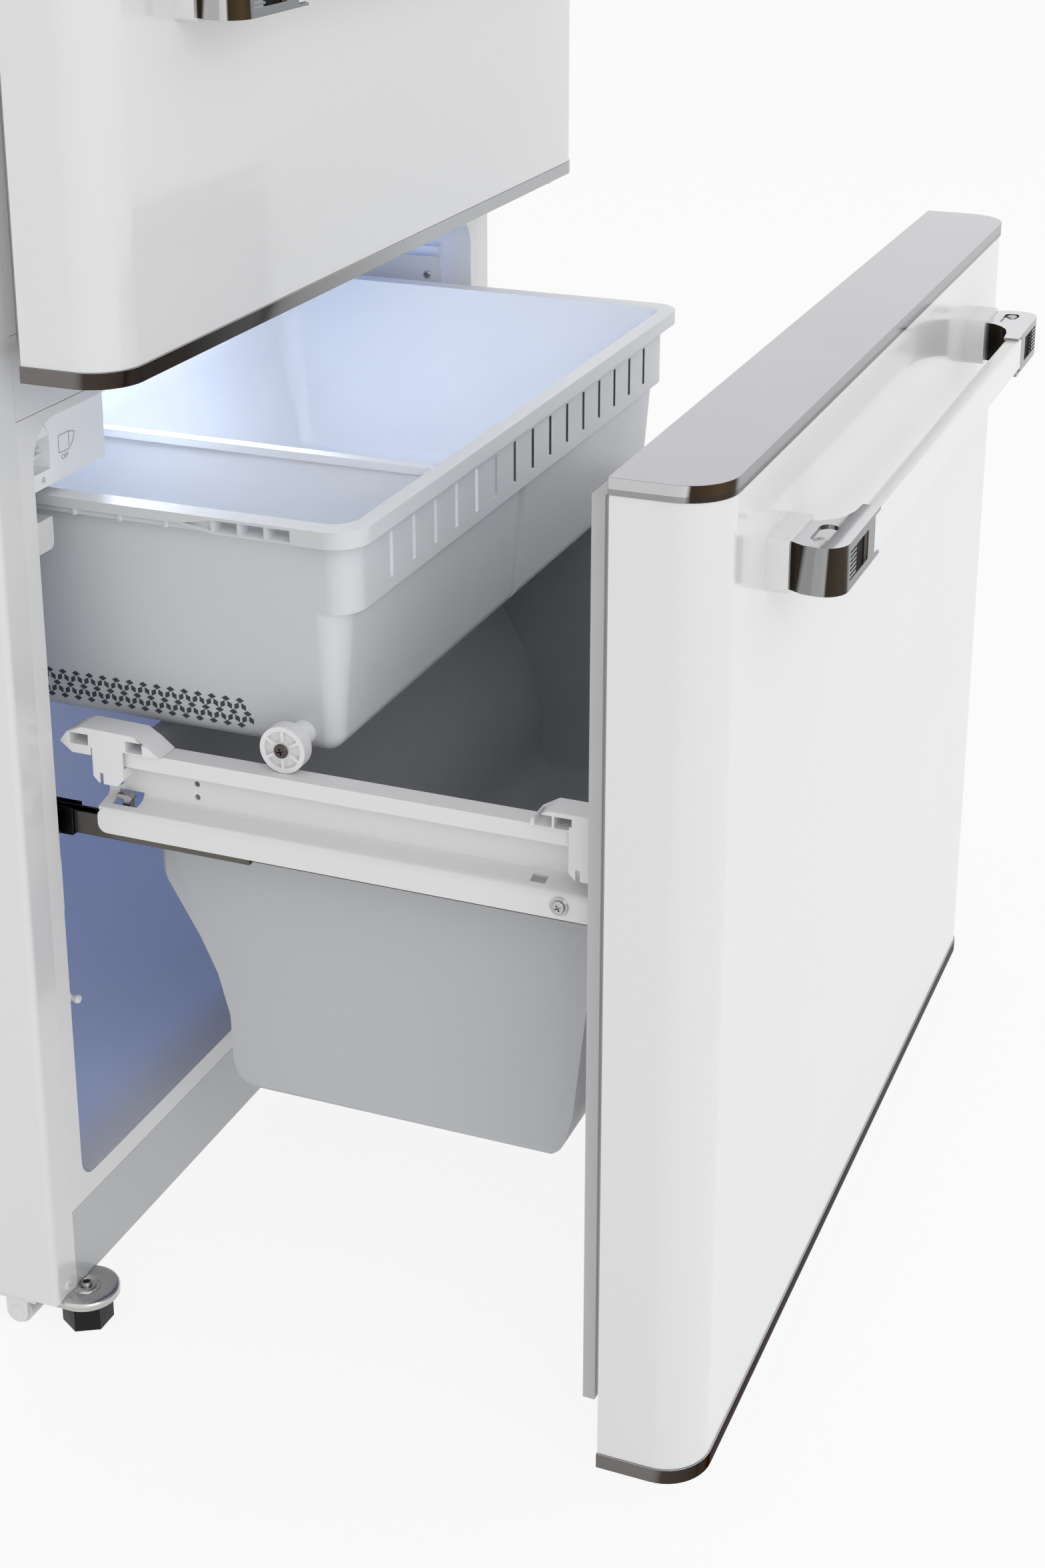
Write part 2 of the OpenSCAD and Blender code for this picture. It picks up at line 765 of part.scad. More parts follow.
// Outer face of a side frame, from the top flange's lip down to the rail's lower edge
function frame_path() = concat(
    [[-frame_half, rail_z0]],
    [[-frame_half, rail_z1 - 4], [-frame_half + 3, rail_z1]],
    [[-web_x - 3, shoulder_z], [-web_x, shoulder_z + 3]],
    [[-web_x, frame_top - frame_t], [-frame_half + 4, frame_top - frame_t]],
    [[-frame_half + 4, frame_top - 12]]
);

module web_hole(y, z, r) translate([-web_x - 2, y, z]) rotate([0, 90, 0]) cylinder(h = 6, r = r);

module side_frames() {
    inner_half = web_x - frame_t;
    slot_x = web_x + 2;
    corner_r = 7;
    color(white) both() difference() {
        along_y(frame_y0, frame_y1) union() {
            folded(frame_path(), -frame_t);
            folded([[-inner_half - eps, ledge_z], [-inner_half + bin_ledge_w, ledge_z]], -frame_t);
        }
        for (z = [shoulder_z + 9, shoulder_z + 19]) web_hole(frame_y1 - 71, z, 2.2);
        web_hole(frame_y1 - 9, shoulder_z + 11, 3);
        box(-slot_x - 9, -slot_x + 4, frame_y1 - 28, frame_y1 - 8, shoulder_z - 5, shoulder_z + 5);
        box(-slot_x - 9, -slot_x - 1, frame_y0 + 46, frame_y0 + 57, rail_z1, shoulder_z + 3);
        translate([-frame_half - 1, frame_y1 - corner_r, rail_z0]) rotate([90, 0, 90])
            linear_extrude(frame_t + 2) union() {
                difference() {
                    translate([0, -1]) square([corner_r + 1, corner_r + 1]);
                    translate([0, corner_r]) circle(corner_r);
                }
                difference() {
                    translate([0, rail_h - corner_r]) square([corner_r + 1, corner_r + 1]);
                    translate([0, rail_h - corner_r]) circle(corner_r);
                }
            }
    }
}

// Moulded ends on the frames' top flanges: the side outline p is solid but for its open
// pockets, and a tab from tab_y0 to tab_y1 clips over the flange down to tab_z
module end_cap(p, pockets, tab_y0, tab_y1, tab_z) {
    x0 = -frame_half - 2;
    t = 2;
    bend = 5;
    difference() {
        along_x(x0, -web_x + 2) polygon(p);
        for (y = pockets) box(x0 - 1, -web_x - 2, y[0], y[1], frame_top + 1.5, frame_top + 9.5);
    }
    difference() {
        along_x(x0, x0 + t) polygon([[tab_y0, frame_top + 4], [tab_y0, tab_z + bend],
            [tab_y0 + bend, tab_z], [tab_y1 - bend, tab_z], [tab_y1, tab_z + bend],
            [tab_y1, frame_top + 4]]);
        box(x0 - 1, x0 + t + 1, tab_y1 - 8, tab_y1 - 5, tab_z - 1, tab_z + 8);
    }
    for (y = [tab_y0, tab_y1 - t]) box(x0, -web_x - fit, y, y + t, tab_z + bend, frame_top - 13);
}

module frame_end_caps() {
    z0 = frame_top + fit;
    z1 = frame_top + 15;
    front = frame_y0;
    back = frame_y1;
    color(white) both() {
        end_cap([[back - 54, z0], [back - 44, z1 - 7], [back - 34, z1 - 1], [back + 8, z1],
            [back + 20, z1 - 5], [back + 26, z1 - 13], [back + 16, z0 - 6], [back + 1, z0 - 6],
            [back + 1, z0]], [[back - 40, back - 27], [back + 3, back + 18]],
            back - 24, back, frame_top - 26);
        end_cap([[front, z0], [front, z1 - 2], [front + 40, z1 - 2], [front + 52, z1 - 9],
            [front + 54, z0]], [[front + 24, front + 36], [front + 38, front + 50]],
            front + 2, front + 26, frame_top - 34);
    }
}

// Side outline of the lower bin, inset by g
function bin_side(g) = concat(
    [[bin_y0 + g, bin_top + 1]],
    [[bin_y0 + 30 + g, bin_floor_z + 40]],
    arc(bin_y0 + 64, bin_floor_z + 30, 30 - g, 190, 270),
    arc(bin_y1 - 86, bin_floor_z + 30, 30 - g, 270, 360),
    [[bin_y1 - 56 - g, bin_floor_z + 66], [bin_y1 - 48 - g, bin_floor_z + 100]],
    [[bin_y1 - 36 - g, bin_floor_z + 128], [bin_y1 - 12 - g, bin_floor_z + 172]],
    [[bin_y1 - 2 - g, bin_floor_z + 200], [bin_y1 - g, bin_top + 1]]
);

function bin_front(g) = [
    [-bin_half + g, bin_top + 1], [-bin_half + 12 + g, bin_floor_z + 14],
    [-bin_half + 16 + g, bin_floor_z + 5 + g / 2], [-bin_half + 26 + g, bin_floor_z + g],
    [bin_half - 26 - g, bin_floor_z + g], [bin_half - 16 - g, bin_floor_z + 5 + g / 2],
    [bin_half - 12 - g, bin_floor_z + 14], [bin_half - g, bin_top + 1]
];

module bin_body(g) {
    intersection() {
        along_x(-bin_half, bin_half) polygon(bin_side(g));
        along_y(bin_y0 - 1, bin_y1 + 1) polygon(bin_front(g));
        translate([0, 0, bin_floor_z]) linear_extrude(bin_top + (g > 0 ? 1 : 0) - bin_floor_z)
            round_rect(-bin_half + g, bin_half - g, bin_y0 + g, bin_y1 - g, 24, 24);
    }
}

module lower_bin() {
    rim = 9;
    color([0.72, 0.73, 0.75]) difference() {
        union() {
            bin_body(0);
            translate([0, 0, bin_top - 3]) linear_extrude(3)
                round_rect(-bin_half - rim, bin_half + rim, bin_y0 - rim, bin_y1 + rim, 28, 28);
        }
        bin_body(bin_t);
    }
}

module basket_rails() {
    bar_t = 5;
    leaf_t = 3;
    clip_y0 = 6;
    clip_y1 = 30;
    back = freezer_d - 65;
    top = basket_top - rim_lip - fit;
    color(white) {
        both() {
            difference() {
                along_y(clip_y0, clip_y1) round_rect(-open_half, -basket_half - 5, top - 23, top, 5, 1);
                box(-open_half - 1, -open_half + 8, clip_y0 - 1, clip_y0 + 4, top - 15, top - 12);
            }
            box(-open_half, -basket_wall_half - 2, clip_y1 - eps, back, top - bar_t, top);
            box(-open_half, -open_half + leaf_t, clip_y1 - eps, back, top - 17, ice_z0 - fit);
        }
        box(open_half - leaf_t, open_half, clip_y1 + 2, back, ice_z0 - 1, ice_z0 + 12);
    }
}

// The basket's tub: straight above the band's ledge, drafted below it
module basket_lower(g) {
    r = 22;
    top_r = max(r - g, 4);
    low_r = max(14 - g, 4);
    top_y0 = basket_y0 + ledge_in;
    hull() {
        for (s = [-1, 1], y = [top_y0 + r, basket_y1 - rim_over - r])
            translate([s * (basket_wall_half - r), y, band_z - 1])
                cylinder(h = 1 + (g > 0 ? basket_top - band_z : 0), r = top_r, $fn = 32);
        for (s = [-1, 1], y = [top_y0 + basket_lean + 14, basket_y1 - rim_over - 18 - 14])
            translate([s * (basket_wall_half - 6 - 14), y, basket_floor_z + 14])
                sphere(r = low_r, $fn = 32);
    }
}

// The upright notch that parts the basket's front into two bulges
module notch(g) {
    h = band_z - basket_floor_z;
    translate([0, basket_y0 + ledge_in + basket_lean, basket_floor_z - 2])
        rotate([atan(basket_lean / h), 0, 0]) linear_extrude(h + 1 + g)
        polygon([[-notch_w - g, -3], [-3 - g, notch_d + g], [3 + g, notch_d + g], [notch_w + g, -3]]);
}

module rim_rib(y)
    box(-basket_half + 1, -basket_wall_half + 1, y, y + 2, basket_top - rim_lip, basket_top - 1);

module basket() {
    slot_pitch = (2 * basket_wall_half - 127) / (slot_n - 1);
    slot_w = 5;
    slot_z0 = band_z + 9;
    slot_z1 = slot_z0 + 33;
    rim_z = basket_top - rim_lip;
    lip_y = basket_front + 48;
    dip_y = lip_y + 58;
    dip_end = dip_y + 26;
    upper_y1 = basket_y1 - rim_over;
    wh = basket_wall_half;
    axle_end = roller_x + roller_w / 2 + 1.5;
    boss_end = wh - 10;
    color(plastic) difference() {
        union() {
            difference() {
                union() {
                    basket_lower(0);
                    translate([0, 0, band_z]) linear_extrude(basket_top - band_z)
                        round_rect(-wh, wh, basket_y0, upper_y1, 22, 22);
                    translate([0, 0, rim_z]) linear_extrude(rim_lip)
                        round_rect(-basket_half, basket_half, basket_front, basket_y1, rim_r, rim_r);
                }
                notch(0);
                difference() {
                    union() {
                        basket_lower(basket_t);
                        translate([0, 0, band_z + basket_t]) linear_extrude(100)
                            round_rect(-wh + basket_t, wh - basket_t, basket_y0 + basket_t,
                                upper_y1 - basket_t, 19, 19);
                    }
                    notch(basket_t);
                }
                difference() {
                    translate([0, 0, rim_z - 1]) linear_extrude(rim_lip + 1 - rim_t)
                        round_rect(-basket_half + rim_t, basket_half - rim_t, basket_front + rim_t,
                            basket_y1 - rim_t, rim_r - rim_t, rim_r - rim_t);
                    translate([0, 0, rim_z - 2]) linear_extrude(rim_lip + 2)
                        round_rect(-wh, wh, basket_y0, upper_y1, 22, 22);
                }
                both() along_x(-basket_half - 1, -basket_half + rim_t + eps) polygon([
                    [lip_y, rim_z - 1], [lip_y, basket_top - rim_t], [dip_y, basket_top - rim_t],
                    [dip_end, rim_z + 5], [basket_y1 - rim_r, rim_z + 5], [basket_y1 - rim_r, rim_z - 1]]);
            }
            both() {
                along_x(-basket_half + 1, -wh + 1) polygon([[lip_y - 1, rim_z], [dip_y, rim_z],
                    [dip_end, rim_z + 4], [dip_end, rim_z + 5.5], [dip_y - 1, rim_z + 1.5],
                    [lip_y - 1, rim_z + 1.5]]);
                box(-basket_half + 4, -basket_half + 5.5, dip_y, basket_y1 - rim_r, rim_z, basket_top - 1);
                for (y = [lip_y + 18, lip_y + 38]) rim_rib(y);
                for (y = [dip_y:36:upper_y1 - 20]) rim_rib(y);
            }
            for (x = [-wh + 40:48:wh - 40])
                box(x, x + 2, basket_front + 1, basket_y0 + 1, rim_z + 1, basket_top - 1);
            both() translate([-axle_end, roller_y, roller_z]) rotate([0, 90, 0])
                cylinder(h = axle_end - boss_end, r = axle_r);
            both() translate([-roller_x + roller_w / 2 + fit, roller_y, roller_z]) rotate([0, 90, 0])
                cylinder(h = roller_x - roller_w / 2 - fit - boss_end, r = 9);
        }
        for (i = [0:slot_n - 1]) let(x = (i - (slot_n - 1) / 2) * slot_pitch)
            box(x - slot_w / 2, x + slot_w / 2, basket_y0 - 1, basket_y0 + basket_t + 1, slot_z0, slot_z1);
    }
}

module basket_divider() {
    t = 2;
    flange_half = 5;
    top = basket_top - 8;
    low = basket_floor_z + basket_t + fit;
    y0 = basket_y0 + ledge_in + 12;
    y1 = basket_y1 - rim_over - 24;
    color(plastic) union() {
        along_x(divider_x - t / 2, divider_x + t / 2) polygon([[y0, low + 13], [y0 - 2, top],
            [y1 + 4, top], [y1, low + 13], [y1 - 10, low], [y0 + 10, low]]);
        box(divider_x - flange_half, divider_x + flange_half, y0 - 2, y1 + 4, top - 3, top);
        for (x = [divider_x - flange_half, divider_x + flange_half - 1])
            box(x, x + 1, y0 - 2, y1 + 4, top - 6, top);
    }
}

module basket_rollers() {
    color(white) both() translate([-roller_x - roller_w / 2, roller_y, roller_z]) rotate([0, 90, 0])
        difference() {
            union() {
                difference() {
                    cylinder(h = roller_w, r = roller_r);
                    translate([0, 0, -1]) cylinder(h = 4, r = roller_r - 3.5);
                    translate([0, 0, roller_w - 3]) cylinder(h = 4, r = roller_r - 3.5);
                }
                cylinder(h = roller_w, r = axle_r + 3);
                for (a = [0:60:300]) rotate([0, 0, a]) translate([0, -1, 0])
                    cube([roller_r - 2, 2, roller_w]);
            }
            translate([0, 0, -1]) cylinder(h = roller_w + 2, r = axle_r + run_gap);
        }
}

module ice_maker_housing() {
    t = 2.5;
    color(plastic) difference() {
        intersection() {
            box(ice_x0, ice_x1, ice_y0, ice_y1, ice_z0, freezer_top);
            along_y(0, ice_y1 + 1) round_rect(-open_half, open_half, sill_z, freezer_top,
                opening_r_low, opening_r_top);
        }
        difference() {
            box(ice_x0 + t, ice_x1 - t, ice_y0 + t, ice_y1 - t, ice_z0 - 1, freezer_top - t);
            box(pocket_x - t, pocket_x + pocket_w + t, ice_y0, ice_y0 + pocket_d + t, pocket_z - t,
                pocket_z + pocket_h + t);
            box(ice_x0, ice_x1, ice_rib_y, ice_rib_y + 3, pocket_z, freezer_top);
            box(ice_x0, ice_x0 + 24, ice_y0, ice_y1, freezer_top - 24, freezer_top);
        }
        box(pocket_x, pocket_x + pocket_w, ice_y0 - 1, ice_y0 + pocket_d, pocket_z, pocket_z + pocket_h);
        for (y = [ice_rib_y + 4, ice_y1 + 1]) translate([ice_tray_x, y, ice_tray_z])
            rotate([90, 0, 0]) cylinder(h = 5, r = ice_pin_r + run_gap);
    }
}

module ice_tray() {
    hw = 21;
    hh = 9;
    y0 = ice_rib_y + 3 + 1;
    y1 = ice_y1 - 8;
    pitch = (y1 - y0 - 3) / 7;
    color(plastic) translate([ice_tray_x, 0, ice_tray_z]) union() {
        difference() {
            box(-hw, hw, y0, y1, -hh, hh);
            for (i = [0:6], s = [0, 1]) box(-hw + 2 + s * (hw - 1), -3 + s * (hw + 1),
                y0 + 3 + i * pitch, y0 + i * pitch + pitch, 3 - hh, hh + 1);
        }
        translate([0, y1 + 10, 0]) rotate([90, 0, 0]) cylinder(h = 11, r = ice_pin_r);
        translate([0, y0 + 1, 0]) rotate([90, 0, 0]) cylinder(h = 4, r = ice_pin_r);
    }
}

module ice_lever() {
    x = pocket_x + pocket_w / 2;
    z = pocket_z + pocket_h / 2;
    pin_r = 2;
    pin_gap = 0.4;
    color(plastic) union() {
        translate([pocket_x + pin_gap, ice_y0 + 9, z]) rotate([0, 90, 0])
            cylinder(h = pocket_w - 2 * pin_gap, r = pin_r);
        box(x - 6, x + 6, ice_y0 + 1, ice_y0 + 9, z - 1.4, z + 1.4);
    }
}

module control_housing() {
    z0 = fresh_top - control_h;
    y1 = control_y0 + control_d;
    color(plastic) difference() {
        box(-control_half, control_half, control_y0, y1, z0, fresh_top);
        box(lamp_x0, control_half - 4, control_y0 + 4, y1 - 4, z0 - 1, fresh_top - 3);
        translate([dial_x, dial_y, z0 - 1]) cylinder(h = control_h + 2, r = stem_r + run_gap);
    }
}

module lamp_lens() {
    z0 = fresh_top - control_h;
    t = 3;
    x0 = lamp_x0 + fit;
    x1 = control_half - 4 - fit;
    y0 = control_y0 + 4 + fit;
    y1 = control_y0 + control_d - 4 - fit;
    color([0.95, 0.97, 1.0, 0.6]) difference() {
        box(x0, x1, y0, y1, z0 - 2, z0 + 3);
        box(x0 + t, x1 - t, y0 + t, y1 - t, z0, z0 + 4);
    }
}

module temperature_dial() {
    z0 = fresh_top - control_h;
    color(white) translate([dial_x, dial_y, 0]) union() {
        translate([0, 0, z0 - 14]) cylinder(h = 14 - fit, r = 22);
        translate([0, 0, z0 - 1]) cylinder(h = 20, r = stem_r);
        translate([-2, -23, z0 - 14]) cube([4, 20, 3]);
    }
}

module shelf_glass() {
    color([0.80, 0.92, 0.90, 0.45]) for (z = shelf_zs)
        box(-open_half + 14, open_half - 14, shelf_y0 + 14, shelf_y1 - 12, z + 2, z + 2 + glass_t);
}

module shelf_frames() {
    side = open_half - 1.5;
    color(white) for (z = shelf_zs) difference() {
        box(-side, side, shelf_y0, shelf_y1, z, z + glass_t + 6);
        box(-side + 12.5 - fit, side - 12.5 + fit, shelf_y0 + 14 - fit, shelf_y1 - 12 + fit,
            z + 2 - eps, z + glass_t + 7);
        box(-side + 20, side - 20, shelf_y0 + 22, shelf_y1 - 20, z - 1, z + 3);
    }
}

module crisper(x0, x1) {
    y0 = 118;
    y1 = shelf_y1 - 16;
    z0 = fresh_bottom + fit;
    z1 = shelf_low - 16;
    t = 2.5;
    difference() {
        union() {
            along_x(x0, x1) polygon([[y0, z0 + 14], [y0 + 10, z0], [y1 - 16, z0], [y1, z0 + 18],
                [y1, z1], [y0, z1]]);
            box(x0 + 40, x1 - 40, y0 - 9, y0, z1 - 26, z1 - 16);
        }
        along_x(x0 + t, x1 - t) polygon([[y0 + t, z0 + 14], [y0 + 11, z0 + t], [y1 - 17, z0 + t],
            [y1 - t, z0 + 18], [y1 - t, z1 + 1], [y0 + t, z1 + 1]]);
    }
}

module crispers() {
    color([0.88, 0.92, 0.95, 0.7]) {
        crisper(-open_half + 32, -3);
        crisper(3, open_half - 32);
    }
}

module hinge_brackets() {
    t = 4;
    leaf_r = 18;
    mid_z = door_bottom - 6 - t;
    color(steel) {
        translate([0, 0, cab_top]) linear_extrude(t) union() {
            translate([hinge_x - 26, -10]) square([46, 80]);
            translate([hinge_x - leaf_r, hinge_y]) square([2 * leaf_r, -hinge_y]);
            translate([hinge_x, hinge_y]) circle(leaf_r);
        }
        translate([hinge_x, hinge_y, door_top - 22])
            cylinder(h = cab_top + t - door_top + 22 - eps, r = hinge_pin_r);
        translate([0, 0, mid_z]) linear_extrude(t) union() {
            translate([hinge_x - 12, hinge_y]) square([half_w - 6 - hinge_x + 12, -hinge_y]);
            translate([hinge_x, hinge_y]) circle(leaf_r);
        }
        box(gasket_out + 5, half_w - 6, -3, 0, mid_z - 30, mid_z + t - eps);
        translate([hinge_x, hinge_y, mid_z]) cylinder(h = t + 6 + 16, r = hinge_pin_r);
        translate([hinge_x, hinge_y, mid_z]) cylinder(h = t + 6 - fit, r = 9);
    }
}

module hinge_cover() {
    t = 2;
    h = 24;
    x0 = hinge_x - 34;
    x1 = hinge_x + 31;
    y0 = hinge_y - 24;
    y1 = 78;
    color(white) difference() {
        translate([0, 0, cab_top + fit]) linear_extrude(h) round_rect(x0, x1, y0, y1, 18, 10);
        translate([0, 0, cab_top - 1]) linear_extrude(h - t + 1)
            round_rect(x0 + t, x1 - t, y0 + t, y1 - t, 16, 8);
    }
}

// A pair of cheeks with an axle between them, joined by two strips clear of the roller
module roller_bracket(x0, x1, y, z, reach, r) {
    t = 2.5;
    for (x = [x0, x1 - t]) along_x(x, x + t) union() {
        translate([y, z]) circle(9);
        translate([y - 9, z]) square([18, cab_bottom - z - fit / 2]);
        translate([y - reach, cab_bottom - 5]) square([2 * reach, 5 - fit / 2]);
    }
    translate([x0 - 1, y, z]) rotate([0, 90, 0]) cylinder(h = x1 - x0 + 2, r = axle_r);
    for (y0 = [y - reach, y + r + 1])
        box(x0, x1, y0, y0 + reach - r - 1, cab_bottom - 5, cab_bottom - 2);
}

module roller_brackets() {
    color(white) both() {
        roller_bracket(-half_w + 3, -half_w + 28, front_roller_y, front_roller_z, front_r + 6, front_r);
        roller_bracket(-half_w + 3, -half_w + 34, rear_y, rear_r, rear_r + 8, rear_r);
    }
}

module roller(x0, x1, y, z, r) {
    translate([x0, y, z]) rotate([0, 90, 0]) difference() {
        cylinder(h = x1 - x0, r = r);
        translate([0, 0, -1]) cylinder(h = x1 - x0 + 2, r = axle_r + run_gap);
    }
}

module front_rollers() {
    color([0.85, 0.85, 0.86]) both()
        roller(-half_w + 6, -half_w + 25, front_roller_y, front_roller_z, front_r);
}

module rear_rollers() {
    color([0.85, 0.85, 0.86]) both() roller(-half_w + 6, -half_w + 31, rear_y, rear_r, rear_r);
}

module foot(s) {
    hex_h = cab_bottom - foot_plate_t - fit;
    color(dark) translate([s * foot_x, foot_y, 0]) union() {
        cylinder(h = hex_h, r = foot_r, $fn = 6);
        cylinder(h = cab_bottom + 4, r = stud_r);
    }
}

module foot_left() foot(-1);
module foot_right() foot(1);

// The painted skin of a door: front and sides in one folded sheet
module door_skin(rear, z0, z1) {
    t = skin_t;
    color(white) difference() {
        translate([0, 0, z0]) linear_extrude(z1 - z0) front_plan(door_half, rear - door_t, rear, door_r);
        translate([0, 0, z0 - 1]) linear_extrude(z1 - z0 + 2)
            front_plan(door_half - t, rear - door_t + t, rear - t, door_r - t);
        box(-seam_door, seam_door, rear - t - 1, rear + 1, z0 - 1, z1 + 1);
    }
}

module door_foam(rear, z0, z1) {
    t = skin_t;
    color([0.93, 0.88, 0.70]) translate([0, 0, z0 + eps]) linear_extrude(z1 - z0 - 2 * eps)
        front_plan(door_half - t, rear - door_t + t, rear - 2.5 - fit, door_r - t);
}

// A chromed end cap: its plate is outside, its skirt meets the skin
module door_cap(rear, z0, up, pin) {
    t = 2;
    half = door_half + cap_proud;
    inner_z = up ? z0 - 1 : z0 + t;
    difference() {
        translate([0, 0, z0]) linear_extrude(cap_h)
            front_plan(half, rear - door_t - cap_proud, rear + cap_proud / 2, door_r + cap_proud);
        difference() {
            translate([0, 0, inner_z]) linear_extrude(cap_h - t + 1)
                front_plan(half - t, rear - door_t - cap_proud + t, rear - t, door_r + cap_proud - t);
            if (pin) translate([hinge_x, hinge_y, z0 - 2]) cylinder(h = cap_h + 4, r = 11);
        }
        if (pin) translate([hinge_x, hinge_y, z0 - 2]) cylinder(h = cap_h + 4, r = pin_bore_r);
    }
}

module ring(half, z0, z1, w) {
    difference() {
        translate([-half, z0]) square([2 * half, z1 - z0]);
        translate([-half + w, z0 + w]) square([2 * half - 2 * w, z1 - z0 - 2 * w]);
    }
}

module door_gasket(rear, z0, z1) {
    color([0.86, 0.86, 0.87]) union() {
        along_y(rear, rear + gasket_t * 0.45) ring(gasket_out, z0, z1, gasket_w);
        along_y(rear + gasket_t * 0.45 - eps, rear + gasket_t * 0.6)
            ring(gasket_out - 3, z0 + 3, z1 - 3, gasket_w - 6);
        along_y(rear + gasket_t * 0.6 - eps, rear + gasket_t) ring(gasket_out, z0, z1, gasket_w);
    }
}

module upper_door_skin() door_skin(upper_rear, door_bottom + cap_h, door_top - cap_h);

module upper_door_foam() {
    difference() {
        door_foam(upper_rear, door_bottom + cap_h, door_top - cap_h);
        for (z = [door_bottom, door_top - 30]) translate([hinge_x, hinge_y, z])
            color(white) cylinder(h = 30, r = 12);
    }
}

module upper_door_caps() {
    color(chrome) {
        door_cap(upper_rear, door_bottom, false, true);
        door_cap(upper_rear, door_top - cap_h, true, true);
    }
}

module upper_door_gasket() door_gasket(upper_rear, fresh_bottom - 24, fresh_top + 24);

module upper_door_liner() {
    t = 2.5;
    z0 = door_bottom + cap_h + fit;
    z1 = door_top - cap_h - fit;
    color(plastic) union() {
        box(-seam_door + fit, seam_door - fit, upper_rear - t, upper_rear, z0, z1);
        both() difference() {
            along_y(upper_rear - eps, dyke_y) round_rect(-dyke_x, -dyke_x + dyke_w, fresh_bottom + 22,
                fresh_top - 22, 8, 8);
            box(-dyke_x + t, -dyke_x + dyke_w - t, upper_rear, dyke_y - t, fresh_bottom + 22 + t,
                fresh_top - 22 - t);
        }
    }
}

module door_bins() {
    half = dyke_x - dyke_w - fit;
    depth = 100;
    h = bin_h;
    t = 2.5;
    y0 = upper_rear + fit;
    color([0.90, 0.94, 0.97, 0.75]) for (z = bin_zs) difference() {
        translate([0, 0, z]) linear_extrude(h) round_rect(-half, half, y0, y0 + depth, 1, 20);
        translate([0, 0, z + t]) linear_extrude(h) round_rect(-half + t, half - t, y0 + t,
            y0 + depth - t, 1, 18);
        box(-half - 1, half + 1, y0 - 1, y0 + t + 1, z + 45, z + h + 1);
    }
}

// Plan of a handle bracket: a leg from its foot, a round corner and the socket of the bar
module bracket_plan(face) {
    f = face - handle_reach;
    x0 = -handle_half;
    polygon(concat(
        [[x0 + 6, face - stub_d]],
        [[x0 + 1, face - stub_d - 9]],
        arc(x0 + 16, f + 16, 16, 180, 270),
        [[x0 + socket_x + 14, f], [x0 + socket_x + 14, f + bar_t]],
        [[x0 + socket_x - 2, f + bar_t + 1], [x0 + 66, f + bar_t + 4], [x0 + 58, f + bar_t + 9]],
        [[x0 + 52, face - stub_d - 7], [x0 + 50, face - stub_d]]
    ));
}

module handle_bracket(face, z) {
    h = bar_h + 4;
    f = face - handle_reach;
    x0 = -handle_half;
    difference() {
        translate([0, 0, z - h / 2]) linear_extrude(h) bracket_plan(face);
        translate([x0 + 33, f - 1, z - 10]) cube([30, 4, 20]);
        for (i = [-3:3]) translate([x0 + 18, f - 1, z + i * 3 - 0.7]) cube([15.5, 2.6, 1.4]);
        translate([x0 + 12, face - 36, z + h / 2 - 1.5]) linear_extrude(3) union() {
            translate([6, 6]) circle(6);
            translate([6, 0]) square([22, 12]);
            translate([28, 6]) circle(6);
        }
        translate([x0 + socket_x, f - 1, z - bar_h / 2]) cube([20, bar_t + 2, bar_h]);
    }
}

module handle_brackets(face, z) {
    color(chrome) both() handle_bracket(face, z);
}

module handle_bar(face, z) {
    f = face - handle_reach;
    foot_h = bar_h + 9;
    color(white) union() {
        along_x(-handle_half + socket_x + fit, handle_half - socket_x - fit)
            round_rect(f, f + bar_t, z - bar_h / 2 + eps, z + bar_h / 2 - eps, 3, 3);
        both() along_y(face - stub_d + eps, face)
            round_rect(-handle_half + 2, -handle_half + 58, z - foot_h / 2, z + foot_h / 2, 4, 4);
    }
}

module upper_handle_bar() handle_bar(upper_rear - door_t, upper_handle_z);
module upper_handle_brackets() handle_brackets(upper_rear - door_t, upper_handle_z);
module drawer_handle_bar() handle_bar(drawer_rear - door_t, drawer_handle_z);
module drawer_handle_brackets() handle_brackets(drawer_rear - door_t, drawer_handle_z);

module drawer_skin() {
    difference() {
        door_skin(drawer_rear, drawer_bottom + cap_h, drawer_top - cap_h);
        box(-door_half + skin_t, door_half - skin_t, relief_y, drawer_rear + 1, drawer_bottom, relief_z);
    }
}

module drawer_foam() door_foam(drawer_rear, relief_z + liner_t + fit, drawer_top - cap_h);

// The lower trim is a band round the front and the sides, the upper cap is closed
module drawer_caps() {
    t = 2;
    half = door_half + cap_proud;
    front = drawer_rear - door_t - cap_proud;
    color(chrome) {
        translate([0, 0, drawer_bottom]) linear_extrude(cap_h) difference() {
            front_plan(half, front, drawer_rear + cap_proud / 2, door_r + cap_proud);
            front_plan(half - t, front + t, drawer_rear + 1, door_r + cap_proud - t);
        }
        door_cap(drawer_rear, drawer_top - cap_h, true, false);
    }
}

// Closes the drawer front's underside inside the lower trim, up to the rebate's riser
module drawer_end_plate() {
    t = 2;
    half = door_half - skin_t - fit;
    front = drawer_rear - door_t + skin_t + fit;
    color(plastic) union() {
        translate([0, 0, drawer_bottom + fit]) linear_extrude(t)
            front_plan(half, front, relief_y, door_r - skin_t - fit);
        box(-half, half, relief_y - t, relief_y, drawer_bottom + fit, relief_z - fit);
    }
}

module drawer_gasket() door_gasket(drawer_rear, drawer_gasket_z0, drawer_gasket_z1);

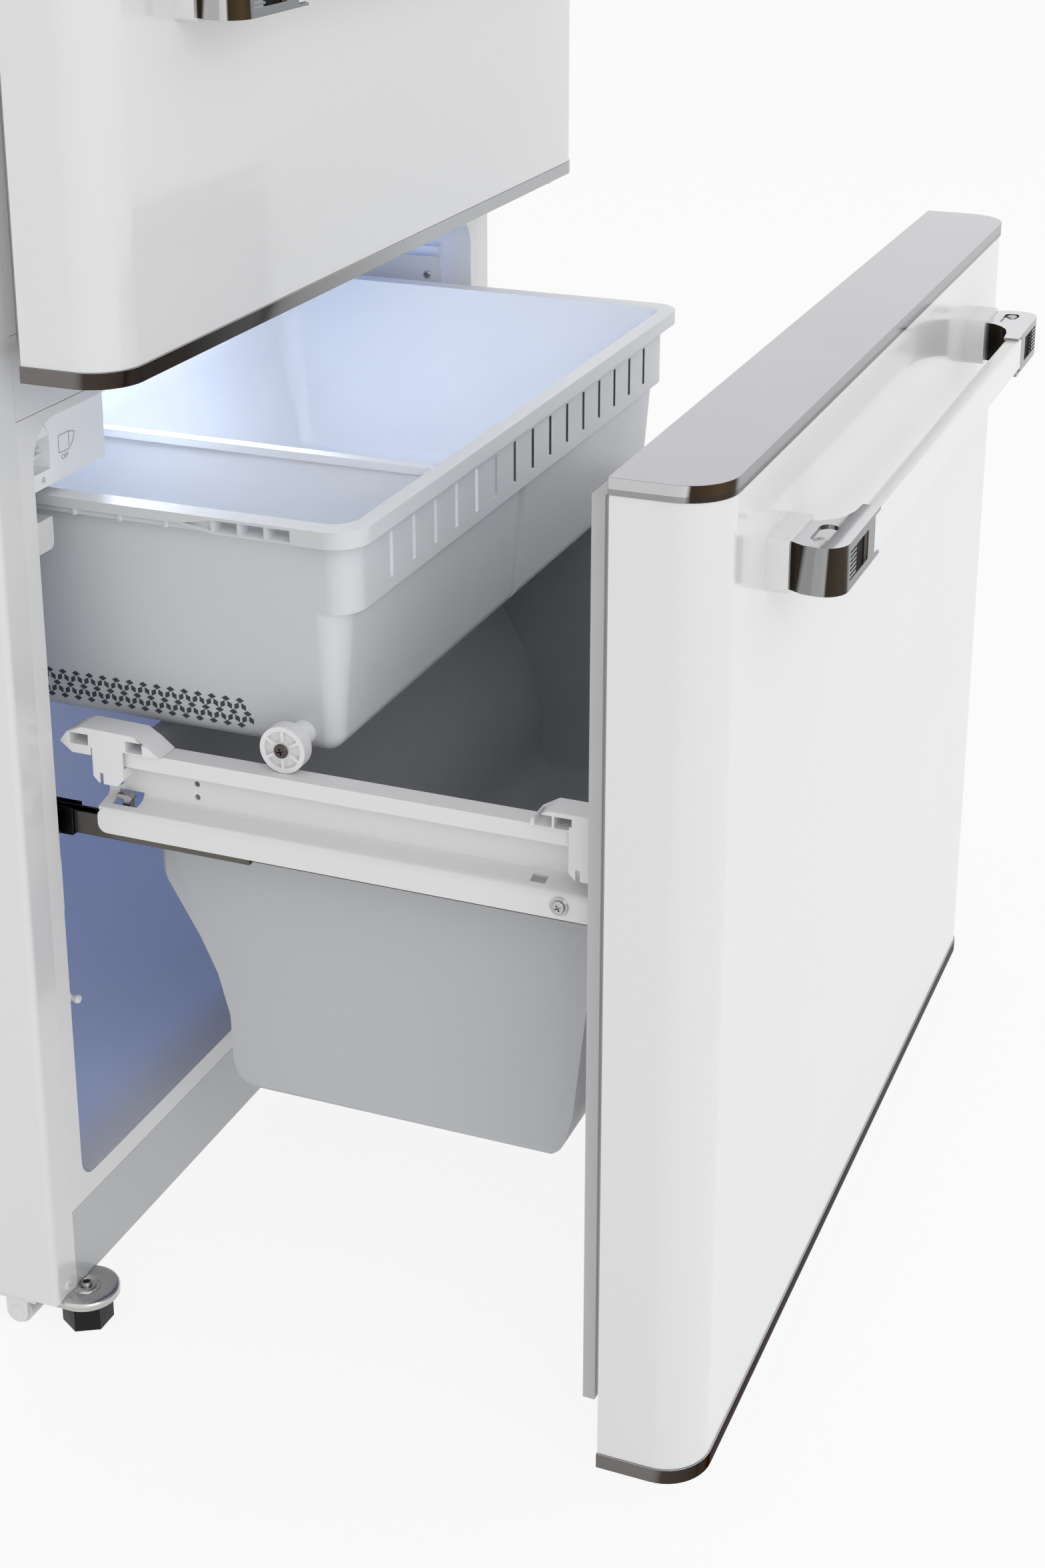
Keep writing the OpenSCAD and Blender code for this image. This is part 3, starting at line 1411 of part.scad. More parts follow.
module drawer_liner() {
    t = 2.5;
    color(plastic) union() {
        box(-seam_door + fit, seam_door - fit, drawer_rear - t, drawer_rear, relief_z,
            drawer_top - cap_h - fit);
        box(-seam_door + fit, seam_door - fit, relief_y - t, drawer_rear, relief_z,
            relief_z + liner_t);
        box(-door_half + skin_t + fit, door_half - skin_t - fit, relief_y - t,
            drawer_rear - skin_t - fit, relief_z, relief_z + liner_t);
        difference() {
            along_y(drawer_rear - eps, plug_y) round_rect(-plug_half, plug_half,
                drawer_gasket_z0 + gasket_w + 3, drawer_gasket_z1 - gasket_w - 3, 10, 10);
            box(-plug_half + t, plug_half - t, drawer_rear - 1, plug_y - t,
                drawer_gasket_z0 + gasket_w + 3 + t, drawer_gasket_z1 - gasket_w - 3 - t);
        }
    }
}

place() outer_shell();
place() cabinet_foam();
place() back_panel();
place() fresh_food_liner();
place() freezer_liner();
place() mullion_trim();
place() kick_panel();
place() base_frame();
place() machine_cover();
place() compressor();
place() condenser_coil();
place() condenser_fan_mount();
place() condenser_fan();
place() drip_tray();
place() evaporator_coil();
place() evaporator_cover();
place() evaporator_fan_motor();
place() evaporator_fan();
place() cabinet_slides();
place() middle_slides();
place() drawer_slides();
place() basket_rails();
place() ice_maker_housing();
place() ice_tray();
place() ice_lever();
place() control_housing();
place() lamp_lens();
place() temperature_dial();
place() shelf_frames();
place() shelf_glass();
place() crispers();
place() hinge_brackets();
place() hinge_cover();
place() roller_brackets();
place() front_rollers();
place() rear_rollers();
place() foot_left();
place() foot_right();
place() upper_door_skin();
place() upper_door_foam();
place() upper_door_liner();
place() upper_door_caps();
place() upper_door_gasket();
place() upper_handle_bar();
place() upper_handle_brackets();
place() door_bins();
place() drawer_skin();
place() drawer_foam();
place() drawer_liner();
place() drawer_caps();
place() drawer_end_plate();
place() drawer_gasket();
place() drawer_handle_bar();
place() drawer_handle_brackets();
place() side_frames();
place() frame_end_caps();
place() lower_bin();
place() basket();
place() basket_divider();
place() basket_rollers();
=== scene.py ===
"""The looks of a bottom-freezer refrigerator in a retro style, its freezer drawer pulled out."""
import json
from math import cos, pi, radians, sin, sqrt

import bmesh
import bpy
from mathutils import Matrix, Vector


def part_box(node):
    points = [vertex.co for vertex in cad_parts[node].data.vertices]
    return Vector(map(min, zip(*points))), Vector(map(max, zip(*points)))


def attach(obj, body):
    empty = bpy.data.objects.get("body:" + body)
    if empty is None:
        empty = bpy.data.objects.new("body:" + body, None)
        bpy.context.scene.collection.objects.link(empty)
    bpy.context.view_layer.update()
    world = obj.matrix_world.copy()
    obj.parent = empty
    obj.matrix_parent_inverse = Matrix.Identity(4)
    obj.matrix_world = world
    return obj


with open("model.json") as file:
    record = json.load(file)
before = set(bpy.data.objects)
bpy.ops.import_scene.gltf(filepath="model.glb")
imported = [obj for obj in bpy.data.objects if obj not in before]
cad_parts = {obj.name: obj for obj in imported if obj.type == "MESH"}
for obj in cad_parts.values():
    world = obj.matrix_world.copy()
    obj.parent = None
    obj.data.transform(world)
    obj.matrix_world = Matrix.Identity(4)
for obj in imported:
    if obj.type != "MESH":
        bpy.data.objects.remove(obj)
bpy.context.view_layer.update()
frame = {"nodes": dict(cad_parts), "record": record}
nodes = frame["nodes"]
slot_of = {part["node"]: part["material_slot"] for part in frame["record"]["subparts"]}

# The cabinet's front face lies at this Y of the row frame
FRONT_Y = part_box("outer_shell")[0][1]

# The photograph's height, and the camera that was solved from the object's own edges: its
# focal length and the row that its axis meets in pixels, and its place in millimetres, with
# y = 0 at the cabinet's front face
PHOTO_HEIGHT = 2352
FOCAL_PIXELS = 3629
AXIS_ROW = 800
CAMERA_PLACE = (-1689.5, -881.4, 1159.5)
CAMERA_YAW = radians(68.13)
CAMERA_PITCH = radians(-19.16)


def at(x, y, z):
    """A place in millimetres, y from the cabinet's front face, as a point of the row frame."""
    return Vector((x / 1000, y / 1000 + FRONT_Y, z / 1000))


# Materials

def new_material(name):
    """A material with its tree, its shader and the object coordinates to place textures by."""
    material = bpy.data.materials.new(name)
    material.use_nodes = True
    tree = material.node_tree
    shader = tree.nodes["Principled BSDF"]
    place = tree.nodes.new("ShaderNodeTexCoord")
    return material, tree, shader, place.outputs["Object"]


def noise(tree, place, scale, detail=3.0, stretch=(1, 1, 1)):
    mapping = tree.nodes.new("ShaderNodeMapping")
    mapping.inputs["Scale"].default_value = stretch
    tree.links.new(place, mapping.inputs["Vector"])
    texture = tree.nodes.new("ShaderNodeTexNoise")
    texture.inputs["Scale"].default_value = scale
    texture.inputs["Detail"].default_value = detail
    tree.links.new(mapping.outputs["Vector"], texture.inputs["Vector"])
    return texture.outputs["Fac"]


def scaled(tree, value, low, high, first=0.3, last=0.7):
    """The value mapped from first..last to low..high; noise lies mostly from 0.3 to 0.7."""
    node = tree.nodes.new("ShaderNodeMapRange")
    node.inputs["From Min"].default_value = first
    node.inputs["From Max"].default_value = last
    node.inputs["To Min"].default_value = low
    node.inputs["To Max"].default_value = high
    tree.links.new(value, node.inputs["Value"])
    return node.outputs["Result"]


def mixed(tree, value, first, second):
    """A colour between two others. Each is a tuple or a socket, and value a number or a socket."""
    node = tree.nodes.new("ShaderNodeMix")
    node.data_type = "RGBA"
    for name, colour in (("A", first), ("B", second)):
        socket = [s for s in node.inputs if s.name == name and s.type == "RGBA"][0]
        if isinstance(colour, tuple):
            socket.default_value = (*colour, 1)
        else:
            tree.links.new(colour, socket)
    if isinstance(value, float):
        node.inputs[0].default_value = value
    else:
        tree.links.new(value, node.inputs[0])
    return [s for s in node.outputs if s.type == "RGBA"][0]


def bumped(tree, shader, value, depth):
    node = tree.nodes.new("ShaderNodeBump")
    node.inputs["Strength"].default_value = 1.0
    node.inputs["Distance"].default_value = depth
    tree.links.new(value, node.inputs["Height"])
    tree.links.new(node.outputs["Normal"], shader.inputs["Normal"])


def math_node(tree, operation, *values):
    """A sum, product or test of sockets and numbers."""
    node = tree.nodes.new("ShaderNodeMath")
    node.operation = operation
    for socket, value in zip(node.inputs, values):
        if isinstance(value, (int, float)):
            socket.default_value = value
        else:
            tree.links.new(value, socket)
    return node.outputs[0]


def all_of(tree, first, *others):
    """The product of masks: one where every mask is one."""
    for other in others:
        first = math_node(tree, "MULTIPLY", first, other)
    return first


def split(tree, vector):
    """The X, Y and Z of a vector socket, by name."""
    node = tree.nodes.new("ShaderNodeSeparateXYZ")
    tree.links.new(vector, node.inputs[0])
    return node.outputs


def surface_normal(tree):
    return tree.nodes["Texture Coordinate"].outputs["Normal"]


def ramp(tree, value, stops):
    """A tone that runs through (position, colour) stops."""
    node = tree.nodes.new("ShaderNodeValToRGB")
    marks = node.color_ramp.elements
    while len(marks) < len(stops):
        marks.new(0.5)
    for mark, (position, colour) in zip(marks, stops):
        mark.position = position
        mark.color = (*colour, 1)
    tree.links.new(value, node.inputs[0])
    return node.outputs[0]


def shade(colour, factor):
    return tuple(min(1.0, c * factor) for c in colour)


def enamel(name, colour, roughness=0.2, peel=0.00002, coat=0.5):
    """Gloss paint on steel sheet: a faint orange peel and a faint cloudiness."""
    material, tree, shader, place = new_material(name)
    clouds = noise(tree, place, 3.5)
    tree.links.new(mixed(tree, clouds, shade(colour, 0.975), colour),
                   shader.inputs["Base Color"])
    tree.links.new(scaled(tree, noise(tree, place, 9), roughness - 0.03, roughness + 0.04),
                   shader.inputs["Roughness"])
    shader.inputs["Coat Weight"].default_value = coat
    shader.inputs["Coat Roughness"].default_value = 0.06
    bumped(tree, shader, noise(tree, place, 420, 1.0), peel)
    return material


def plastic(name, colour, roughness=0.4, grain=0.00003, grain_scale=1800, fleck=0.02):
    """Moulded plastic: a fine spark-eroded grain over a slightly uneven tone."""
    material, tree, shader, place = new_material(name)
    tree.links.new(mixed(tree, noise(tree, place, 14), shade(colour, 1 - fleck), colour),
                   shader.inputs["Base Color"])
    tree.links.new(scaled(tree, noise(tree, place, 60), roughness - 0.05, roughness + 0.06),
                   shader.inputs["Roughness"])
    bumped(tree, shader, noise(tree, place, grain_scale, 2.0), grain)
    return material


# Where the basket's front slots lie: behind its front plane, below its top and beside its middle
SLOT_BEHIND = 0.022
SLOT_BELOW_TOP = 0.0385
SLOT_HALF_HEIGHT = 0.0175
SLOTS_HALF_WIDTH = 0.29
# Painted light and painted shade on the narrow sides of the front slots: bright on the left, dark on
# the right
SLOT_PAINTED_LIGHT = (0.97, 0.97, 1.0)
SLOT_PAINTED_SHADE = (0.05, 0.05, 0.06)


def slot_sides(tree, normal, spot):
    """One on the narrow sides of the slots in the basket's front wall."""
    low, high = (Vector(corner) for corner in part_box("basket"))
    aside = math_node(tree, "ABSOLUTE", normal["X"])
    return all_of(
        tree, math_node(tree, "GREATER_THAN", aside, 0.9),
        math_node(tree, "LESS_THAN", spot["Y"], low.y + SLOT_BEHIND),
        math_node(tree, "COMPARE", spot["Z"], high.z - SLOT_BELOW_TOP, SLOT_HALF_HEIGHT),
        math_node(tree, "LESS_THAN", math_node(tree, "ABSOLUTE", spot["X"]), SLOTS_HALF_WIDTH))


def basket_painted_shading(name, centre, outer, inner, front):
    """Milky plastic with painted shade and painted light: its outside is painted greyer as shade,
    where nothing light lies behind it, and the outside of its front wall is painted lighter as light.
    The narrow sides of the front wall's slots are painted bright as light on the left and dark as
    shade on the right."""
    material, tree, shader, place = new_material(name)
    offset = tree.nodes.new("ShaderNodeVectorMath")
    offset.operation = "SUBTRACT"
    offset.inputs[1].default_value = centre
    tree.links.new(place, offset.inputs[0])
    outward = tree.nodes.new("ShaderNodeVectorMath")
    outward.operation = "DOT_PRODUCT"
    tree.links.new(offset.outputs["Vector"], outward.inputs[0])
    tree.links.new(surface_normal(tree), outward.inputs[1])
    facing_out = scaled(tree, outward.outputs["Value"], 0.0, 1.0, 0.05, 0.15)
    normal = split(tree, surface_normal(tree))
    spot = split(tree, place)
    forward = scaled(tree, normal["Y"], 1.0, 0.0, -0.98, -0.1)
    # Outside faces take the painted shade of outer, and outside faces that point forward the painted
    # light of front
    tone = mixed(tree, facing_out, inner, mixed(tree, forward, outer, front))
    tone = mixed(tree, scaled(tree, noise(tree, place, 6), 0.9, 1.0), outer, tone)
    right = scaled(tree, spot["X"], 0.0, 1.0, -0.11, -0.03)
    # The slot sides are painted bright as light on the left and dark as shade on the right
    slot_painted_light_and_shade = mixed(tree, right, SLOT_PAINTED_LIGHT, SLOT_PAINTED_SHADE)
    tree.links.new(mixed(tree, slot_sides(tree, normal, spot), tone, slot_painted_light_and_shade),
                   shader.inputs["Base Color"])
    tree.links.new(scaled(tree, noise(tree, place, 60), 0.29, 0.40), shader.inputs["Roughness"])
    bumped(tree, shader, noise(tree, place, 1500, 2.0), 0.00003)
    return material


# Depths behind the cabinet's front between which the liner takes on the painted blue light of the
# cold lamp, and the colour of its faint painted glow
LAMP_TINT_FROM = 0.004
LAMP_TINT_FULL = 0.060
PAINTED_BOUNCE_GLOW = (0.47, 0.59, 1.0)


def lamp_tinted_liner(name, front_colour, deep_lamp_tint, glow=0.0):
    """White liner plastic painted bluer with its depth behind the cabinet's front, as painted light
    of the cold lamp inside; its glow stands for the lamp's light that the walls pass on to each
    other."""
    material, tree, shader, place = new_material(name)
    depth = tree.nodes.new("ShaderNodeMapRange")
    depth.interpolation_type = "SMOOTHSTEP"
    depth.inputs["From Min"].default_value = FRONT_Y + LAMP_TINT_FROM
    depth.inputs["From Max"].default_value = FRONT_Y + LAMP_TINT_FULL
    tree.links.new(split(tree, place)["Y"], depth.inputs["Value"])
    uneven = mixed(tree, noise(tree, place, 5), shade(deep_lamp_tint, 0.94), deep_lamp_tint)
    tree.links.new(mixed(tree, depth.outputs["Result"], front_colour, uneven),
                   shader.inputs["Base Color"])
    shader.inputs["Emission Color"].default_value = (*PAINTED_BOUNCE_GLOW, 1)
    tree.links.new(math_node(tree, "MULTIPLY", depth.outputs["Result"], glow),
                   shader.inputs["Emission Strength"])
    tree.links.new(scaled(tree, noise(tree, place, 4), 0.36, 0.42), shader.inputs["Roughness"])
    bumped(tree, shader, noise(tree, place, 700, 1.0), 0.000006)
    return material


def metal(name, colour, roughness, brushed=(1, 1, 1), grain=0.00002, scale=240):
    """Bare or plated metal; brushed stretches the grain along one axis."""
    material, tree, shader, place = new_material(name)
    grain_value = noise(tree, place, scale, 2.0, brushed)
    tree.links.new(mixed(tree, grain_value, shade(colour, 0.93), colour),
                   shader.inputs["Base Color"])
    tree.links.new(scaled(tree, grain_value, roughness * 0.8, roughness * 1.25),
                   shader.inputs["Roughness"])
    shader.inputs["Metallic"].default_value = 1.0
    bumped(tree, shader, grain_value, grain)
    return material


# Painted reflections of the plating, as tones by the sideways share of its normal
PAINTED_REFLECTION_BROWN = (0.040, 0.028, 0.018)
UPPER_REFLECTION_STOPS = [(0.0, (0.23, 0.24, 0.25)), (0.16, (0.20, 0.21, 0.22)), (0.24, PAINTED_REFLECTION_BROWN),
               (0.60, (0.075, 0.052, 0.030)), (0.93, PAINTED_REFLECTION_BROWN), (0.96, (0.62, 0.62, 0.62)),
               (1.0, (0.55, 0.55, 0.55))]
LOWER_REFLECTION_STOPS = [(0.0, (0.042, 0.032, 0.026)), (0.3, (0.065, 0.052, 0.044)),
               (0.5, (0.035, 0.026, 0.020)), (0.97, (0.055, 0.044, 0.038)),
               (1.0, (0.17, 0.16, 0.155))]
# Middle height and half height of the bands at the lower edges of drawer and door
DRAWER_BAND = (0.020, 0.02)
DOOR_BAND = (0.7455, 0.010)
# The door band's painted reflection at its right end, and what the drawer's band reflects at a low
# angle
DOOR_BAND_FAR_REFLECTION = (0.40, 0.41, 0.42)
BAND_EDGE_TINT = (0.36, 0.345, 0.34)
# The darker painted reflection along the foot of the drawer's top trim starts this far below its
# upper face
TOP_REFLECTION_LINE = 0.0072


def plated(name, top, roughness=0.07):
    """Bright plating whose tone is painted reflection that follows the way it faces: the plates on
    top are painted light, the rounded corners dark, and the bands at the lower edges of door and
    drawer darker still. The door's band is painted lighter to the right."""
    material, tree, shader, place = new_material(name)
    normal = split(tree, surface_normal(tree))
    spot = split(tree, place)
    aside = math_node(tree, "ABSOLUTE", normal["X"])
    upper = ramp(tree, aside, UPPER_REFLECTION_STOPS)
    trim_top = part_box("drawer_caps")[1][2]
    darker_reflection_line = math_node(tree, "LESS_THAN", spot["Z"], trim_top - TOP_REFLECTION_LINE)
    # Below this line the plating takes a darker painted reflection
    upper = mixed(tree, darker_reflection_line, upper, mixed(tree, 0.45, upper, (0.03, 0.03, 0.03)))
    drawer_band = math_node(tree, "COMPARE", spot["Z"], *DRAWER_BAND)
    door_band = math_node(tree, "COMPARE", spot["Z"], *DOOR_BAND)
    along = scaled(tree, spot["X"], 0.0, 1.0, -0.33, 0.06)
    flat = math_node(tree, "LESS_THAN", aside, 0.3)
    lower = mixed(tree, all_of(tree, along, flat, door_band), ramp(tree, aside, LOWER_REFLECTION_STOPS),
                  DOOR_BAND_FAR_REFLECTION)
    tone = mixed(tree, math_node(tree, "MAXIMUM", drawer_band, door_band), upper, lower)
    # Faces that point up take the top's painted light reflection
    upward = math_node(tree, "GREATER_THAN", normal["Z"], 0.6)
    top_painted_reflection = mixed(tree, noise(tree, place, 7), shade(top, 0.85), top)
    tree.links.new(mixed(tree, upward, tone, top_painted_reflection), shader.inputs["Base Color"])
    tree.links.new(scaled(tree, noise(tree, place, 50), roughness * 0.8, roughness * 1.3),
                   shader.inputs["Roughness"])
    shader.inputs["Metallic"].default_value = 1.0
    tree.links.new(mixed(tree, drawer_band, (1.0, 1.0, 1.0), BAND_EDGE_TINT),
                   shader.inputs["Specular Tint"])
    bumped(tree, shader, noise(tree, place, 60, 2.0), 0.000004)
    return material


def glowing(name, colour, strength):
    material, tree, shader, place = new_material(name)
    tree.links.new(mixed(tree, noise(tree, place, 40), shade(colour, 0.95), colour),
                   shader.inputs["Emission Color"])
    shader.inputs["Emission Strength"].default_value = strength
    return material


def clear(name, colour, roughness, transmission, ior=1.49):
    material, tree, shader, place = new_material(name)
    tree.links.new(mixed(tree, noise(tree, place, 8), shade(colour, 0.97), colour),
                   shader.inputs["Base Color"])
    tree.links.new(scaled(tree, noise(tree, place, 40), roughness, roughness + 0.05),
                   shader.inputs["Roughness"])
    shader.inputs["Transmission Weight"].default_value = transmission
    shader.inputs["IOR"].default_value = ior
    return material


def soft_rubber(name, colour, roughness=0.55, gloss=0.5):
    material, tree, shader, place = new_material(name)
    tree.links.new(mixed(tree, noise(tree, place, 25), shade(colour, 0.93), colour),
                   shader.inputs["Base Color"])
    tree.links.new(scaled(tree, noise(tree, place, 90), roughness - 0.06, roughness + 0.08),
                   shader.inputs["Roughness"])
    shader.inputs["Specular IOR Level"].default_value = gloss
    bumped(tree, shader, noise(tree, place, 900, 2.0), 0.00004)
    return material


def foam(name, colour):
    material, tree, shader, place = new_material(name)
    cells = tree.nodes.new("ShaderNodeTexVoronoi")
    cells.inputs["Scale"].default_value = 260
    tree.links.new(place, cells.inputs["Vector"])
    tree.links.new(mixed(tree, cells.outputs["Distance"], shade(colour, 0.8), colour),
                   shader.inputs["Base Color"])
    shader.inputs["Roughness"].default_value = 0.9
    bumped(tree, shader, cells.outputs["Distance"], 0.0008)
    return material


WHITE = (0.78, 0.78, 0.78)
# The liner's tone at its front edge and deep inside, where it is painted blue as the cold lamp's
# light
LINER_TONES = ((0.80, 0.80, 0.80), (0.74, 0.81, 1.0))
materials = {
    "white_enamel": enamel("WhiteEnamel", WHITE),
    "handle_white": enamel("HandleLacquer", WHITE, 0.18),
    "frame_enamel": enamel("FramePowderCoat", (0.78, 0.78, 0.785), 0.38, 0.00005, 0.1),
    "grey_sheet": enamel("GreySheet", (0.36, 0.37, 0.38), 0.45, 0.00005, 0.0),
    "black_steel": metal("BlackSteel", (0.035, 0.035, 0.038), 0.35),
    "zinc_steel": metal("ZincSteel", (0.52, 0.52, 0.51), 0.3),
    "chrome": plated("Chrome", (0.50, 0.50, 0.53)),
    "aluminium": metal("Aluminium", (0.72, 0.73, 0.74), 0.35),
    "dark_aluminium": metal("DarkAluminium", (0.06, 0.06, 0.065), 0.4),
    "liner": lamp_tinted_liner("Liner", *LINER_TONES),
    "white_plastic": plastic("WhitePlastic", (0.78, 0.78, 0.79), 0.36),
    # The milky plastic of this slot is painted as light as it goes, as the light that reaches it in
    # the drawer
    "basket_plastic": plastic("DividerMilkPaintedLight", (0.95, 0.97, 1.0), 0.34, 0.00003, 1500),
    "grey_plastic": plastic("BinPlastic", (0.52, 0.53, 0.55), 0.4, 0.00005, 1500),
    "black_plastic": plastic("BlackPlastic", (0.02, 0.02, 0.022), 0.45),
    "roller_plastic": plastic("RollerPlastic", (0.70, 0.70, 0.71), 0.32),
    "clear_plastic": clear("ClearPlastic", (0.90, 0.94, 0.97), 0.06, 0.75),
    "clear": clear("FrostedLens", (0.96, 0.97, 0.98), 0.4, 0.5),
    "gasket": soft_rubber("GasketRubber", (0.60, 0.60, 0.61)),
    "foot_rubber": soft_rubber("FootRubber", (0.008, 0.008, 0.008), 0.35, 0.2),
    "glass": clear("ShelfGlass", (0.86, 0.96, 0.93), 0.02, 0.9, 1.5),
    "foam": foam("RigidFoam", (0.80, 0.68, 0.38)),
}
WINDOW_BLACK = soft_rubber("WindowBlack", (0.003, 0.003, 0.004), 0.5, 0.05)
# Basket tones: outside painted grey as shade, inside, and the front wall's outside painted light
BASKET_PAINTED_SHADING = basket_painted_shading("BasketMilkPaintedShading", (0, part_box("basket")[0][1] + 0.205, 0.65),
                            (0.58, 0.59, 0.605), (0.88, 0.895, 0.92), (0.88, 0.89, 0.93))
# The ice maker's housing is white plastic painted lighter than the rest, as the light inside the
# freezer
ICE_MAKER_PAINTED_LIGHT = plastic("IceMakerPaintedLight", (0.94, 0.95, 0.97), 0.36)
# The freezer's liner also has a faint glow, painted as the lamp's light passed between its walls
FREEZER_LINER = lamp_tinted_liner("FreezerLiner", *LINER_TONES, 0.06)
# The kick panel's white enamel is painted grey as the shade under the pulled-out drawer
KICK_PAINTED_SHADE = enamel("KickPaintedShade", (0.50, 0.51, 0.525), 0.35)
PRINT_GREY = plastic("PrintGrey", (0.24, 0.25, 0.28), 0.5)
SCREW_STEEL = metal("ScrewSteel", (0.50, 0.50, 0.50), 0.25)
DARK_SCREW = metal("DarkScrew", (0.10, 0.085, 0.08), 0.35)
DARK_STEEL = metal("DarkSteel", (0.38, 0.365, 0.365), 0.24)
DOME_STEEL = metal("DomeSteel", (0.64, 0.63, 0.62), 0.22)
BRONZE = metal("BronzeEdge", (0.20, 0.13, 0.07), 0.25)
SLIDE_STEEL = metal("SlideSteel", (0.13, 0.122, 0.11), 0.2, (0.05, 0.05, 1), 0.00003, 500)
BRACKET_CHROME = plated("BracketChrome", (0.70, 0.70, 0.72))
COLD_LED = glowing("ColdLed", (0.78, 0.86, 1.0), 17.5)
SHADOW_GREY = plastic("HoleShadow", (0.05, 0.052, 0.06), 0.8)


# Surfaces of the CAD nodes

# Rounding of each node's edges in metres: less on thin sheet, none on foam and coils
EDGE = {
    "outer_shell": 0.0004, "side_frames": 0.0004, "kick_panel": 0.0004,
    "upper_door_caps": 0.0007, "drawer_caps": 0.0007, "basket": 0.0006, "lower_bin": 0.0008,
    "frame_end_caps": 0.0006, "upper_handle_bar": 0.0012, "drawer_handle_bar": 0.0012,
    "upper_handle_brackets": 0.0008, "drawer_handle_brackets": 0.0008, "hinge_cover": 0.0018,
    "cabinet_foam": 0.0, "upper_door_foam": 0.0, "drawer_foam": 0.0, "evaporator_coil": 0.0,
    "condenser_coil": 0.0,
}
USUAL_EDGE = 0.0005
# Nodes that look different from the rest of their slot, several of them by painted light, painted
# shade and painted reflection
OWN_MATERIAL = {
    "basket": BASKET_PAINTED_SHADING, "freezer_liner": FREEZER_LINER, "ice_maker_housing": ICE_MAKER_PAINTED_LIGHT,
    "kick_panel": KICK_PAINTED_SHADE, "drawer_slides": SLIDE_STEEL, "middle_slides": SLIDE_STEEL,
    "upper_handle_brackets": BRACKET_CHROME, "drawer_handle_brackets": BRACKET_CHROME,
}


def round_edges(piece, width):
    weld = piece.modifiers.new("Weld", "WELD")
    weld.merge_threshold = 0.00001
    bevel = piece.modifiers.new("Bevel", "BEVEL")
    bevel.width = width
    bevel.segments = 2
    bevel.limit_method = "ANGLE"
    bevel.angle_limit = radians(40)
    normals = piece.modifiers.new("Normals", "WEIGHTED_NORMAL")
    normals.keep_sharp = True


def smooth(piece):
    piece.data.shade_smooth()
    piece.data.set_sharp_from_angle(angle=radians(35))


for node_name, node in nodes.items():
    node.data.materials.clear()
    node.data.materials.append(OWN_MATERIAL.get(node_name, materials[slot_of[node_name]]))
    smooth(node)
    edge = EDGE.get(node_name, USUAL_EDGE)
    if edge:
        round_edges(node, edge)


# Pieces that the scene adds

def facing(point, normal, up=(0, 0, 1)):
    """A matrix whose Z points along normal and whose Y is as near up as it can be."""
    z = Vector(normal).normalized()
    x = Vector(up).cross(z)
    x = x.normalized() if x.length > 0.001 else Vector((1, 0, 0))
    y = z.cross(x)
    turn = Matrix((x, y, z)).transposed().to_4x4()
    return Matrix.Translation(point) @ turn


def add_piece(name, bm, material, body, matrix, edge=0.0):
    """The piece of a bmesh, on its body."""
    mesh = bpy.data.meshes.new(name)
    bmesh.ops.recalc_face_normals(bm, faces=bm.faces)
    bm.to_mesh(mesh)
    bm.free()
    piece = bpy.data.objects.new(name, mesh)
    bpy.context.collection.objects.link(piece)
    piece.matrix_world = matrix
    mesh.materials.append(material)
    smooth(piece)
    if edge:
        round_edges(piece, edge)
    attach(piece, body)
    return piece


def ring_of(bm, radius, z, count):
    return [bm.verts.new((radius * cos(2 * pi * i / count), radius * sin(2 * pi * i / count), z))
            for i in range(count)]


def bridge(bm, low, high):
    for i in range(len(low)):
        j = (i + 1) % len(low)
        bm.faces.new((low[i], low[j], high[j], high[i]))


def lathe(profile, count=40):
    """A turned shape round local Z from (radius, height) pairs, closed at both ends."""
    bm = bmesh.new()
    rings = [ring_of(bm, r, z, count) for r, z in profile]
    for low, high in zip(rings, rings[1:]):
        bridge(bm, low, high)
    bm.faces.new(rings[0])
    bm.faces.new(rings[-1])
    return bm


def prism(outlines, depth):
    """Flat outlines in local X and Y, each raised by depth along Z."""
    bm = bmesh.new()
    for outline in outlines:
        low = [bm.verts.new((x, y, 0)) for x, y in outline]
        high = [bm.verts.new((x, y, depth)) for x, y in outline]
        bm.faces.new(low)
        bm.faces.new(high)
        bridge(bm, low, high)
    return bm


def rectangle(half_x, half_y):
    return [(-half_x, -half_y), (half_x, -half_y), (half_x, half_y), (-half_x, half_y)]


def loop_edges(bm, loop):
    return [bm.edges.get((a, b)) or bm.edges.new((a, b)) for a, b in zip(loop, loop[1:] + loop[:1])]


def cross_head(radius, height):
    """A pan head with a cross recess; local Z points out of the head."""
    bm = bmesh.new()
    profile = [(1.0, 0.0), (1.0, 0.35), (0.93, 0.7), (0.78, 0.93), (0.62, 1.0)]
    rings = [ring_of(bm, radius * r, height * z, 32) for r, z in profile]
    for low, high in zip(rings, rings[1:]):
        bridge(bm, low, high)
    w = radius * 0.11
    arm = radius * 0.5
    plus = [(w, arm), (-w, arm), (-w, w), (-arm, w), (-arm, -w), (-w, -w),
            (-w, -arm), (w, -arm), (w, -w), (arm, -w), (arm, w), (w, w)]
    top = [bm.verts.new((x, y, height)) for x, y in plus]
    low = [bm.verts.new((x * 0.8, y * 0.8, height * 0.2)) for x, y in plus]
    bridge(bm, low, top)
    bm.faces.new(low)
    edges = loop_edges(bm, rings[-1]) + loop_edges(bm, top)
    bmesh.ops.triangle_fill(bm, use_beauty=True, edges=edges)
    bm.faces.new(rings[0])
    return bm


def screw(name, point, normal, radius, height, body, material=SCREW_STEEL,
          turn=0.0):
    """A screw head whose underside lies at point."""
    matrix = facing(point, normal) @ Matrix.Rotation(turn, 4, "Z")
    return add_piece(name, cross_head(radius, height), material, body, matrix)


# In what follows, side is -1 on the left and 1 on the right

def side_name(side):
    return "Left" if side < 0 else "Right"


